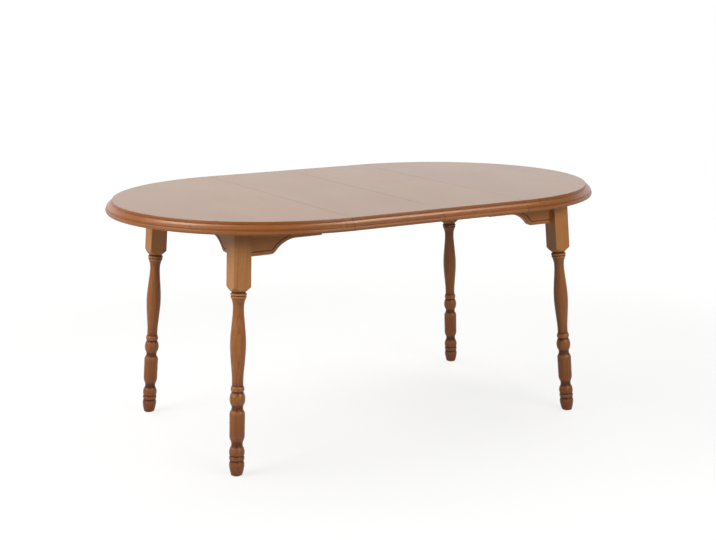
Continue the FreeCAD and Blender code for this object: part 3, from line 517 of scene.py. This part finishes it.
def legGrid():
    # Radius for every height and direction, foot to top, and each point's stain, painted shade and highlight.
    # The radius is the profile's, then the lesser of a cone's and the square's, then the square's up past the
    # underside.
    profile = turnedProfile()
    angles = blockAngles()
    square = blockRadius(angles)
    turned = np.repeat(profile[:, 1:], len(angles), 1)
    turnedRows = profile[:, 0]
    length, shoulder = leg["turnedLength"], leg["shoulderRadius"]
    slope = leg["shoulderHeight"] / (leg["blockSide"] / math.sqrt(2) - shoulder)
    rise = (np.maximum(square, shoulder) - shoulder) * slope
    share = np.linspace(0, 1, leg["shoulderRows"])[:, None]
    shoulderRadii = np.minimum(square, shoulder + share * leg["shoulderHeight"] / slope)
    shoulderRows = length + share[:, 0] * rise.max()
    top = (underside + leg["overrun"]) / math.cos(leg["splayEnd"])
    topRows = np.linspace(length + rise.max(), top, leg["blockRows"])[1:]
    radii = np.concatenate([turned, np.repeat(shoulder, len(angles))[None], shoulderRadii[1:],
                            np.repeat(square[None], len(topRows), 0)])
    heights = np.concatenate([turnedRows, [length], shoulderRows[1:], topRows])
    # Stain and painted shade in the grooves, by how far the radius falls below its smoothed mean
    mean = radii.mean(1)
    groove = np.zeros_like(mean)
    for rows, depth in leg["grooves"]:
        window = np.ones(2 * rows + 1) / (2 * rows + 1)
        smooth = np.convolve(np.pad(mean, rows, mode="edge"), window, mode="valid")
        groove = np.maximum(groove, (smooth - mean) / depth)
    # The last, narrow window also finds the crests of the beads, which get a painted highlight
    crest = np.clip((mean - smooth) / depth, 0, 1) * leg["crestHighlight"]
    groove = np.clip(groove, 0, 1)
    # Turned wood takes more stain than the planed block, and painted shade darkens it more towards the foot
    turnedTone = leg["turnedTone"] + leg["footShade"] * np.clip(1 - heights / length, 0, 1) ** 2
    hollow = (groove - crest + turnedTone) * (heights < length + leg["toneEnd"])
    return radii, heights, angles, np.repeat(hollow[:, None], len(angles), 1)


def makeLegs():
    # The upright leg is leaned both ways about its foot. Points below the glide or above the underside slide
    # back along the lean.
    radii, heights, angles, hollow = legGrid()
    local = np.stack([radii * np.cos(angles), radii * np.sin(angles),
                      np.repeat(heights[:, None], len(angles), 1)], -1)
    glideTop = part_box("foot_glides_left")[1].z
    glideRadius = (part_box("foot_glides_left")[1].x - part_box("foot_glides_left")[0].x) / 2
    for number, (sideName, side) in enumerate(sides.items()):
        low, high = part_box(f"foot_glides_{sideName}")
        for depthName, depth in depths.items():
            lean = Vector((-side * math.tan(leg["splayEnd"]), -depth * math.tan(leg["splaySide"]), 1))
            turn = np.array(Vector((0, 0, 1)).rotation_difference(lean).to_matrix())
            foot = np.array([(low.x + high.x) / 2, depth * (high.y - glideRadius), 0])
            foot = foot - np.array([lean.x, lean.y, 0]) * glideTop
            points = foot + local @ turn.T
            level = np.clip(points[..., 2], glideTop, underside)
            points = points + (level - points[..., 2])[..., None] * np.array(lean)
            grain = local + (np.array(leg["grainStart"]) + number * np.array(leg["grainStepSide"])
                             + depth * np.array(leg["grainStepDepth"]))
            name = f"leg_{depthName}_{sideName}"
            piece = gridMesh(name + "_turned", points, grain, hollow)
            addPiece(piece, materials["leg"], "leg_wood", f"{sideName}_half", name)


makeLegs()
print("legs turned")

# Moulded edge: one section, carried straight along the leaves and round the half tops
edge = {
    "reach": 0.021,
    "depth": 0.035,
    "arris": 0.001,
    "stepReach": 0.002,
    "stepDrop": 0.008,
    "ovoloRadius": 0.023,
    "quirkInset": 0.0026,
    "quirkHeight": 0.0032,
    "beadHeight": 0.012,
    "beadRadius": 0.0105,
    "rebate": 0.025,
    "arrisPoints": 5,
    "ovoloPoints": 24,
    "beadPoints": 18,
    "rowsRound": 240,
    "rowsStraight": 24,
    # Painted shade darkens the quirk above the bead, under the step and along the lowest band, and stain the
    # joints
    "quirkWidth": 0.0012,
    "quirkBand": (0.018, 0.026),
    "stepShade": 0.7,
    "stepWidth": 0.0015,
    "stepBand": 0.004,
    "seamStain": 1.1,
    "seamWidth": 0.0012,
    "lowerShade": 0.8,
    "lowerBand": 0.0034,
    "lowerFade": 0.001,
    "shades": {"left": 0.0, "right": 0.2, "front": 0.1, "rear": -0.2},
    # Each moulding is cut from its own place in the wood: across, down and along it
    "roundShift": 3.1,
    "leafShift": (0.02, 0.05, 7.3),
}


def sagittaArc(start, end, radius, count):
    # A shallow arc from start to end that bulges away from the table
    start, end = np.array(start), np.array(end)
    chord = end - start
    outward = np.array([-chord[1], chord[0]]) / np.linalg.norm(chord)
    rise = radius - math.sqrt(radius ** 2 - (chord @ chord) / 4)
    return arcThrough(start, (start + end) / 2 + outward * rise, end, count)


def edgeSection():
    # (reach beyond the flat, height above the floor), clockwise from the flat's arris
    quirk = edge["reach"] - edge["quirkInset"]
    beadTop = edge["depth"] - edge["beadHeight"]
    beadReach = edge["reach"] - edge["beadRadius"] + math.sqrt(
        edge["beadRadius"] ** 2 - (edge["beadHeight"] / 2) ** 2)
    ovolo = sagittaArc((edge["stepReach"], -edge["stepDrop"]), (quirk, -beadTop + edge["quirkHeight"]),
                       edge["ovoloRadius"], edge["ovoloPoints"])
    bead = sagittaArc((beadReach, -beadTop), (beadReach, -edge["depth"]), edge["beadRadius"],
                      edge["beadPoints"])
    panel = tableHeight - underside
    arris = edge["arris"]
    middle = (arris * math.sqrt(0.5), arris * (math.sqrt(0.5) - 1))
    arrisArc = arcThrough((0, 0), middle, (arris, -arris), edge["arrisPoints"])
    outline = np.concatenate([
        arrisArc, ovolo, [(quirk, -beadTop)], bead,
        [(-edge["rebate"], -edge["depth"]), (-edge["rebate"], -panel), (0, -panel)]])
    return outline + np.array([0, tableHeight])


def seamRows(start, end, count, unit=1.0):
    # Even places from start to end, with a few more close to both ends, and how much stain each takes. The
    # unit is how many metres one step of 1 is, such as the radius for angles.
    near = np.array([0, 0.5, 1, 1.5]) * edge["seamWidth"] / unit * np.sign(end - start)
    rows = np.concatenate([start + near, np.linspace(start, end, count)[1:-1], (end - near)[::-1]])
    stained = np.zeros(len(rows))
    stained[[0, 1, -2, -1]] = edge["seamStain"]
    stained[[2, -3]] = edge["seamStain"] / 2
    return rows[:, None], stained[:, None]


def bell(distance, width):
    # e to the power of minus the square of distance over width
    return np.exp(-(distance / width) ** 2)


def makeEdges():
    # Round: the section turned about the middle of its half top. Straight: the section moved along the leaf.
    section = edgeSection()
    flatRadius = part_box("top_panel_left")[1].y
    reach, height = section[:, 0], section[:, 1]
    drop = tableHeight - height
    inQuirk = (drop > edge["quirkBand"][0]) & (drop < edge["quirkBand"][1])
    # Painted shade in the quirk above the bead
    hollow = bell(reach - edge["reach"] + edge["quirkInset"], edge["quirkWidth"]) * inQuirk
    # Painted shade under the step
    hollow = hollow + edge["stepShade"] * bell(drop - edge["stepDrop"], edge["stepWidth"]) * (
        reach < edge["stepBand"])
    # Painted shade darkens the lowest band, less so round the ends
    above = edge["depth"] - drop - edge["lowerBand"]
    lower = edge["lowerShade"] * np.clip(1 - above / edge["lowerFade"], 0, 1) * (reach > 0)
    for number, (sideName, side) in enumerate(sides.items()):
        turn, stained = seamRows(-math.pi / 2 * side, math.pi / 2 * side, edge["rowsRound"], flatRadius)
        # The solid's mesh has chords, so its end lies a hair inside the curve's
        fit = (cadBox[1].x - seam - seamGap / 2) / (flatRadius + edge["reach"])
        x = side * (seam + seamGap / 2) + side * (flatRadius + reach) * np.cos(turn) * fit
        y = (flatRadius + reach) * np.sin(turn)
        points = np.stack([x, y, np.broadcast_to(height, x.shape)], -1)
        along = np.broadcast_to(turn * flatRadius, x.shape)
        grain = np.stack([np.broadcast_to(reach, x.shape), np.broadcast_to(height, x.shape), along], -1)
        grain = grain + np.array([0, 0, edge["roundShift"] * number])
        stainAndShade = hollow + lower * np.sin(turn) ** 4 + stained + edge["shades"][sideName]
        piece = gridMesh(f"edge_round_{sideName}", points, grain, stainAndShade)
        addPiece(piece, materials["edge"], "edge_wood", f"{sideName}_half", f"top_moulding_{sideName}")
        for depthName, depth in depths.items():
            low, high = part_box(f"leaf_panel_{sideName}")
            rows, stained = seamRows(low.x, high.x, edge["rowsStraight"])
            if depth > 0:
                rows = rows[::-1]
            y = np.broadcast_to(depth * (flatRadius + reach), (len(rows), len(reach)))
            x = np.broadcast_to(rows, y.shape)
            z = np.broadcast_to(height, y.shape)
            points = np.stack([x, y, z], -1)
            shiftAcross, shiftDown, shiftAlong = edge["leafShift"]
            grain = np.stack([np.broadcast_to(reach, y.shape), z, x], -1) + np.array(
                [shiftAcross * number, shiftDown * depth, shiftAlong + depth])
            name = f"leaf_moulding_{depthName}_{sideName}"
            stainAndShade = hollow + lower + stained + edge["shades"][depthName]
            piece = gridMesh(f"edge_{depthName}_{sideName}", points, grain, stainAndShade)
            addPiece(piece, materials["edge"], "edge_wood", f"leaf_{sideName}", name)


makeEdges()
print("edges moulded")

# Fixings: profiles turned about an axis and laid where the solids are. Places are those of the rear
# right corner, and the other corners mirror them.
fixing = {
    "columns": 48,
    "fineColumns": 96,
    "bolt": {"radius": 0.004, "length": 0.07, "threadFrom": 0.028, "runOut": 0.001, "pitch": 0.00125,
             "threadDepth": 0.0006, "endRadius": 0.0032, "columns": 24, "rowsPerTurn": 6,
             "place": (0.55787, 0.307406, 0.696), "towards": (-1, -1, 0)},
    "nut": {"halfFlats": 0.0065, "washerRows": 6,
            "place": (0.520617, 0.270153, 0.696), "towards": (-1, -1, 0)},
    # A screw head's middle, from its profile's last row to its tip, and the cross recess in it
    "head": {"rows": 15, "tip": 0.00005, "crown": 60},
    "recess": {"halfWidth": 0.0005, "reach": 0.0023, "depth": 0.0014, "slope": 0.0002, "endSlope": 0.0006},
    "bracketScrews": [((0.54565, 0.232956, 0.686), (-1, 0, 0)), ((0.54565, 0.232956, 0.706), (-1, 0, 0)),
                      ((0.483106, 0.2955, 0.686), (0, -1, 0)), ((0.483106, 0.2955, 0.706), (0, -1, 0))],
    "slideScrews": {"left": (0.2025, 0.683), "right": (0.1575, 0.683), "along": (0.51815, 0.42315, 0.32815)},
    "pin": {"radius": 0.004, "length": 0.032, "flutes": 12, "fluteDepth": 0.0003, "end": 0.0012,
            "endRows": 6},
    "pins": {"middle": 0.3, "height": 0.739, "across": (-0.38, 0.0, 0.38)},
    "glide": {"place": (0.604651, 0.347387, 0.0), "towards": (0, 0, 1)},
}
# Profiles as (height, radius) in millimetres
nutProfile = [(0.0, 9.6), (0.15, 9.9), (0.4, 10.0), (1.6, 10.0), (1.85, 9.9), (2.0, 9.6), (2.0, 6.7),
              (2.5, 7.6), (7.7, 7.6), (7.9, 7.25), (8.1, 6.9), (8.3, 6.55), (8.5, 6.2), (8.5, 4.5),
              (8.2, 4.0)]
panHead = [(-15, 0.2), (-12.5, 1.9), (0, 1.9), (0, 3.9), (0.15, 4.0), (0.8, 4.0), (1.3, 3.75), (1.75, 3.2),
           (2.05, 2.6)]
sunkHead = [(-57, 0.2), (-53, 1.9), (-2.4, 1.9), (-0.2, 3.9), (0, 3.9), (0, 3.2), (0, 2.6)]
glideProfile = [(0.0, 10.4), (0.05, 10.9), (0.2, 11.4), (0.45, 11.8), (0.8, 12.0), (2.5, 12.0)]


def directions(columns):
    # Even angles round a full turn, as one row
    return np.arange(columns)[None] * 2 * math.pi / columns


def profileRows(profile):
    # A profile's heights and radii as columns, in metres
    heights, radii = np.array(profile).T[..., None] / 1000
    return heights, radii


def ringGrid(heights, radii, columns):
    # Rows of heights and radii, one number a row or one a point, round the third axis
    heights, radii, angles = np.broadcast_arrays(heights, radii, directions(columns))
    return np.stack([radii * np.cos(angles), radii * np.sin(angles), heights], -1)


def laid(local, place, towards):
    # A grid about the third axis, turned to point somewhere and moved to its place
    turn = np.array(Vector(towards).to_track_quat("Z", "Y").to_matrix())
    return np.array(place) + local @ turn.T


def corners(sideName, place, towards):
    # A place and direction at the front and the rear of one half
    flips = [np.array([sides[sideName], depth, 1]) for depth in depths.values()]
    return [(flip * place, flip * towards) for flip in flips]


def boltGrid():
    # Thread: the radius falls with the distance from a helix, measured in turns
    bolt = fixing["bolt"]
    rows = np.arange(bolt["threadFrom"], bolt["length"], bolt["pitch"] / bolt["rowsPerTurn"])
    heights = np.concatenate([[0, bolt["threadFrom"] - bolt["runOut"]], rows, [bolt["length"]]])[:, None]
    turns = heights / bolt["pitch"] - np.arange(bolt["columns"])[None] / bolt["columns"]
    depth = bolt["threadDepth"] * np.abs(2 * (turns % 1) - 1) * (heights >= bolt["threadFrom"])
    radii = np.minimum(bolt["radius"] - depth, bolt["endRadius"] + (bolt["length"] - heights))
    return ringGrid(heights, radii, bolt["columns"])


def nutGrid():
    # The hexagon is a limit on the radius above the washer
    heights, radii = profileRows(nutProfile)
    folded = (directions(fixing["columns"]) + math.pi / 6) % (math.pi / 3) - math.pi / 6
    hexagon = fixing["nut"]["halfFlats"] / np.cos(folded)
    onNut = np.arange(len(heights))[:, None] >= fixing["nut"]["washerRows"]
    return ringGrid(heights, np.where(onNut, np.minimum(radii, hexagon), radii), fixing["columns"])


def screwGrid(profile, crown=0):
    # The head's profile, then a middle with a cross recess sunk into it. The middle rises by the crown times
    # what the square of the radius falls by.
    head, recess = fixing["head"], fixing["recess"]
    heights, radii = profileRows(profile)
    inner = np.linspace(radii[-1], head["tip"], head["rows"] + 1)[1:]
    heights = np.concatenate([heights, heights[-1] + crown * (radii[-1] ** 2 - inner ** 2)])
    radii = np.concatenate([radii, inner])
    angles = directions(fixing["columns"])
    fromArm = radii * np.minimum(np.abs(np.sin(angles)), np.abs(np.cos(angles)))
    inArm = np.clip((recess["halfWidth"] - fromArm) / recess["slope"], 0, 1)
    inReach = np.clip((recess["reach"] - radii) / recess["endSlope"], 0, 1)
    sunk = recess["depth"] * inArm * inReach * (np.arange(len(radii))[:, None] >= len(profile))
    return ringGrid(heights - sunk, radii, fixing["columns"])


def pinGrid():
    # A fluted dowel with rounded ends
    pin = fixing["pin"]
    bend = np.linspace(0, math.pi / 2, pin["endRows"])
    near = pin["end"] * (1 - np.cos(bend))
    heights = np.concatenate([near, pin["length"] - near[::-1]])[:, None]
    ends = pin["radius"] - pin["end"] * (1 - np.sin(np.concatenate([bend, bend[::-1]])))[:, None]
    angles = directions(fixing["fineColumns"])
    radii = ends - pin["fluteDepth"] * (0.5 - 0.5 * np.cos(angles * pin["flutes"]))
    return ringGrid(heights, radii, fixing["fineColumns"])


def makeFixings():
    # Each kind's grid is laid at every spot of a half, as one piece
    glide = ringGrid(*profileRows(glideProfile), fixing["fineColumns"])
    for sideName, side in sides.items():
        body = f"{sideName}_half"
        bolt, nut, foot = (corners(sideName, fixing[kind]["place"], fixing[kind]["towards"])
                           for kind in ("bolt", "nut", "glide"))
        screws = [spot for place, towards in fixing["bracketScrews"]
                  for spot in corners(sideName, place, towards)]
        line, height = fixing["slideScrews"][sideName]
        sunk = [spot for along in fixing["slideScrews"]["along"]
                for spot in corners(sideName, (along, line, height), (0, 0, -1))]
        pins = fixing["pins"]
        start = side * pins["middle"] - fixing["pin"]["length"] / 2
        dowels = [((start, across, pins["height"]), (1, 0, 0)) for across in pins["across"]]
        panScrew, sunkScrew = screwGrid(panHead, fixing["head"]["crown"]), screwGrid(sunkHead)
        for name, node, grid, spots, material, slot in (
                ("bolts_threaded", "hanger_bolts", boltGrid(), bolt, "steel", "steel"),
                ("nuts_flanged", "bolt_nuts", nutGrid(), nut, "steel", "steel"),
                ("screws_pan_head", "bracket_screws", panScrew, screws, "steel", "steel"),
                ("screws_sunk", "slide_screws", sunkScrew, sunk, "steel", "steel"),
                ("pins_fluted", "table_pins", pinGrid(), dowels, "plainAlong", "plain_wood"),
                ("glides_rounded", "foot_glides", glide, foot, "plastic", "glide_plastic")):
            piece = gridMesh(f"{name}_{sideName}", np.stack([laid(grid, *spot) for spot in spots]))
            addPiece(piece, materials[material], slot, body, f"{node}_{sideName}")


# Corner bracket: a strip bent twice, its outer face on the aprons
bracket = {
    "thickness": 0.0025,
    "height": 0.04,
    "middle": 0.696,
    "outerPath": [(0.54815, 0.224156), (0.54815, 0.246156), (0.496306, 0.298), (0.474306, 0.298)],
    "bend": 0.003,
    "bendPoints": 9,
    "rowSpacing": 0.0006,
    "edgeRound": 0.0006,
    "roundPoints": 5,
    "cornerRound": 0.005,
    "cornerShare": 0.999,
}


def bracketPath():
    # The strip's middle line in plan: the outer path set in by half the thickness, its bends rounded
    path = np.array(bracket["outerPath"])
    half = bracket["thickness"] / 2
    mitre = half * math.tan(math.pi / 8)
    path += np.array([(-half, 0), (-half, -mitre), (-mitre, -half), (0, -half)])
    share = np.linspace(0, 1, bracket["bendPoints"])[:, None]
    runs = [path[:1]]
    for before, corner, after in zip(path, path[1:], path[2:]):
        start = corner + (before - corner) / np.linalg.norm(before - corner) * bracket["bend"]
        end = corner + (after - corner) / np.linalg.norm(after - corner) * bracket["bend"]
        runs.append(start * (1 - share) ** 2 + corner * 2 * share * (1 - share) + end * share ** 2)
    return evenly(np.concatenate(runs + [path[-1:]]), bracket["rowSpacing"])


def bracketGrid():
    # Rows of rounded rectangles along the path, lower near the strip's ends
    path = bracketPath()
    ahead = np.gradient(path, axis=0)
    ahead /= np.linalg.norm(ahead, axis=1)[:, None]
    inward = np.stack([ahead[:, 1], -ahead[:, 0]], 1)
    places = np.append(0, np.cumsum(np.linalg.norm(np.diff(path, axis=0), axis=1)))
    fromEnd = np.minimum(places, places[-1] - places)
    corner, edgeRound = bracket["cornerRound"], bracket["edgeRound"]
    cutOff = corner - np.sqrt(corner ** 2 - np.clip(corner - fromEnd, 0, corner) ** 2)
    halfHeight = bracket["height"] / 2 - edgeRound - cutOff[:, None] * bracket["cornerShare"]
    bend = np.linspace(0, math.pi / 2, bracket["roundPoints"])
    angles = np.concatenate([bend + quarter * math.pi / 2 for quarter in range(4)])
    flipX = np.repeat([1, -1, -1, 1], len(bend))
    flipZ = np.repeat([1, 1, -1, -1], len(bend))
    out = flipX * (bracket["thickness"] / 2 - edgeRound) + edgeRound * np.cos(angles)
    up = flipZ * halfHeight + edgeRound * np.sin(angles)
    plan = path[:, None] - inward[:, None] * out[None, :, None]
    return np.concatenate([plan, (bracket["middle"] + up)[..., None]], -1)


def makeBrackets():
    # One bracket, mirrored to each corner, with its rows turned round where the mirror turns its faces in
    grid = bracketGrid()
    for sideName, side in sides.items():
        for depthName, depth in depths.items():
            points = grid * np.array([side, depth, 1])
            if side * depth < 0:
                points = points[::-1]
            piece = gridMesh(f"bracket_bent_{depthName}_{sideName}", points)
            addPiece(piece, materials["steel"], "steel", f"{sideName}_half",
                     f"corner_bracket_{depthName}_{sideName}")


makeFixings()
makeBrackets()
print("fixings laid")

# What the CAD nodes that stay are finished with, by the start of their names
finishes = (
    ("top_panel", "veneer"), ("leaf_panel", "veneer"), ("end_apron", "apronAcross"),
    ("side_apron", "apronAlong"), ("slide_", "plainAlong"), ("glue_blocks", "plainAlong"),
    ("catch_", "steel"),
)
for name, node in nodes.items():
    if not node.hide_render:
        finish = next(finish for start, finish in finishes if name.startswith(start))
        node.data.materials.clear()
        node.data.materials.append(materials[finish])
print("nodes finished")

# Studio: a pale floor, a white surround, and softboxes, which the moulded edge mirrors.
# Bearings go from +Y towards +X, a softbox's rise is above the horizon, and all are in degrees.
studio = {
    "floorSize": 40.0,
    "floorColour": (0.43, 0.455, 0.485, 1),
    "floorRoughness": 0.9,
    "floorGlow": 0.5,
    "glowStrength": 1.56,
    "floorShine": 0.55,
    "shadowFades": (1.4, 4.5),
    "horizonLight": 0.12,
    "ceilingLight": 0.1,
    "ceilingStarts": (0.24, 0.5),
    "backdropBearing": 30,
    "backdropFades": (75, 35),
    "besideBackdrop": 0.3,
    "lampColour": (1.0, 0.93, 0.84),
    "aim": (0.0, 0.0, 0.75),
    "softboxes": {
        "leftSoftbox": {"bearing": -88, "rise": 24, "away": 4.0, "size": (2.7, 1.8), "brightness": 8.4,
                        "low": True},
        "frontSoftbox": {"bearing": 165, "rise": 22, "away": 5.0, "size": (3.0, 1.75), "brightness": 8.6,
                         "low": True},
        "rearSoftbox": {"bearing": -28, "rise": 53, "away": 4.0, "size": (2.8, 1.3), "brightness": 5.4},
        "rightSoftbox": {"bearing": 76, "rise": 61, "away": 4.0, "size": (2.6, 1.2), "brightness": 6.4},
    },
}


def whiteForEye(at):
    # 1 for rays from the camera or off a shiny or clear surface
    paths = [at.node("ShaderNodeLightPath", {}, {}, name)
             for name in ("Is Camera Ray", "Is Glossy Ray", "Is Transmission Ray")]
    return at.math("MAXIMUM", at.math("MAXIMUM", paths[0], paths[1]), paths[2])


def makeWorld():
    # To shiny surfaces the horizon is white behind the table, and dim at its sides and overhead. Plain
    # surfaces get a dim level from all round. The eye sees white.
    world = bpy.data.worlds.new("surround")
    world.use_nodes = True
    bpy.context.scene.world = world
    at = Socket(world.node_tree)
    background = world.node_tree.nodes["Background"]
    background.inputs["Color"].default_value = (1, 1, 1, 1)
    toEye = at.node("ShaderNodeLightPath", {}, {}, "Is Camera Ray")
    direction = at.node("ShaderNodeTexCoord", {}, {}, "Generated")
    height = at.node("ShaderNodeSeparateXYZ", {}, {0: direction}, "Z")
    ceiling = height.between(*studio["ceilingStarts"])
    bearing = math.radians(studio["backdropBearing"])
    towards = at.node("ShaderNodeVectorMath", {"operation": "DOT_PRODUCT"}, {
        0: direction, 1: (math.sin(bearing), math.cos(bearing), 0)}, "Value")
    backdrop = towards.between(*(math.cos(math.radians(angle)) for angle in studio["backdropFades"]))
    beside = studio["besideBackdrop"]
    shine = backdrop * (1 - beside) + beside
    horizon = whiteForEye(at) * (shine - studio["horizonLight"]) + studio["horizonLight"]
    level = horizon + ceiling * (studio["ceilingLight"] - horizon)
    level = level + toEye * (1 - level)
    world.node_tree.links.new(level.output, background.inputs["Strength"])


def makeFloor():
    # A large plain square. To the eye and in shine, part of its own shade is mixed with an even white glow.
    half = studio["floorSize"] / 2
    mesh = bpy.data.meshes.new("floor")
    mesh.from_pydata([(-half, -half, 0), (half, -half, 0), (half, half, 0), (-half, half, 0)], [],
                     [(0, 1, 2, 3)])
    floor = bpy.data.objects.new("floor", mesh)
    bpy.context.scene.collection.objects.link(floor)
    material, at, shader = newMaterial("paleFloor")
    feed(shader, Base_Color=studio["floorColour"], Roughness=studio["floorRoughness"], Specular_IOR_Level=0.0)
    # Near the table the eye sees a little of the floor's own shade, and so the shadow
    place = at.node("ShaderNodeTexCoord", {}, {}, "Object")
    distance = at.node("ShaderNodeVectorMath", {"operation": "LENGTH"}, {0: place}, "Value")
    far = distance.between(*studio["shadowFades"])
    toEye = at.node("ShaderNodeLightPath", {}, {}, "Is Camera Ray")
    shine = studio["floorShine"]
    strength = (1 - (1 - far) * (1 - studio["glowStrength"])) * (toEye * (1 - shine) + shine)
    glow = at.node("ShaderNodeEmission", {}, {"Strength": strength})
    share = whiteForEye(at) * (1 - (1 - far) * (1 - studio["floorGlow"]))
    above = at.node("ShaderNodeMixShader", {}, {0: share, 1: Socket(at.tree, shader.outputs[0]), 2: glow})
    # From below, the floor is clear
    below = at.node("ShaderNodeNewGeometry", {}, {}, "Backfacing")
    clear = at.node("ShaderNodeBsdfTransparent")
    both = at.node("ShaderNodeMixShader", {}, {0: below, 1: above, 2: clear})
    at.tree.links.new(both.output, at.tree.nodes["Material Output"].inputs["Surface"])
    mesh.materials.append(material)


def sparedPanels():
    # The panels of the top, as a list of what a lamp leaves out
    spared = bpy.data.collections.new("sparedPanels")
    for name, node in nodes.items():
        if name.startswith(("top_panel", "leaf_panel")):
            spared.objects.link(node)
    for held in spared.collection_objects:
        held.light_linking.link_state = "EXCLUDE"
    return spared


def makeSoftbox(name, box, spared):
    # A rectangular lamp that faces the aim, with the same brightness whatever its size
    bearing, rise = math.radians(box["bearing"]), math.radians(box["rise"])
    outward = Vector((math.sin(bearing) * math.cos(rise), math.cos(bearing) * math.cos(rise), math.sin(rise)))
    lamp = bpy.data.lights.new(name, "AREA")
    lamp.shape = "RECTANGLE"
    lamp.size, lamp.size_y = box["size"]
    lamp.energy = box["brightness"] * math.pi * lamp.size * lamp.size_y
    lamp.color = studio["lampColour"]
    holder = bpy.data.objects.new(name, lamp)
    holder.location = Vector(studio["aim"]) + outward * box["away"]
    holder.rotation_euler = outward.to_track_quat("Z", "Y").to_euler()
    holder.visible_camera = False
    bpy.context.scene.collection.objects.link(holder)
    if box.get("low"):
        # The flat top would mirror a low softbox as a white sheet, so a twin shines and spares the top
        shine = holder.copy()
        shine.name = name + "Shine"
        bpy.context.scene.collection.objects.link(shine)
        holder.visible_glossy = False
        shine.visible_diffuse = False
        shine.light_linking.receiver_collection = spared


camera = {
    "place": (-2.1080, -3.6815, 1.3710),
    "turn": math.radians(-29.825),
    "tilt": math.radians(78.115),
    "roll": math.radians(-0.27),
    "lens": 66.79,
    "sensorWidth": 36,
}


def makeCamera():
    # A camera that looks straight down is rolled, then tilted up about X, then turned about Z
    data = bpy.data.cameras.new("camera")
    data.lens = camera["lens"]
    data.sensor_width = camera["sensorWidth"]
    holder = bpy.data.objects.new("camera", data)
    holder.location = camera["place"]
    turn = Matrix.Rotation(camera["turn"], 3, "Z") @ Matrix.Rotation(camera["tilt"], 3, "X")
    holder.rotation_euler = (turn @ Matrix.Rotation(camera["roll"], 3, "Z")).to_euler()
    bpy.context.scene.collection.objects.link(holder)
    bpy.context.scene.camera = holder


makeWorld()
makeFloor()
spared = sparedPanels()
for softbox, setting in studio["softboxes"].items():
    makeSoftbox(softbox, setting, spared)
makeCamera()
bpy.context.scene.view_settings.view_transform = "Standard"
print("studio set")
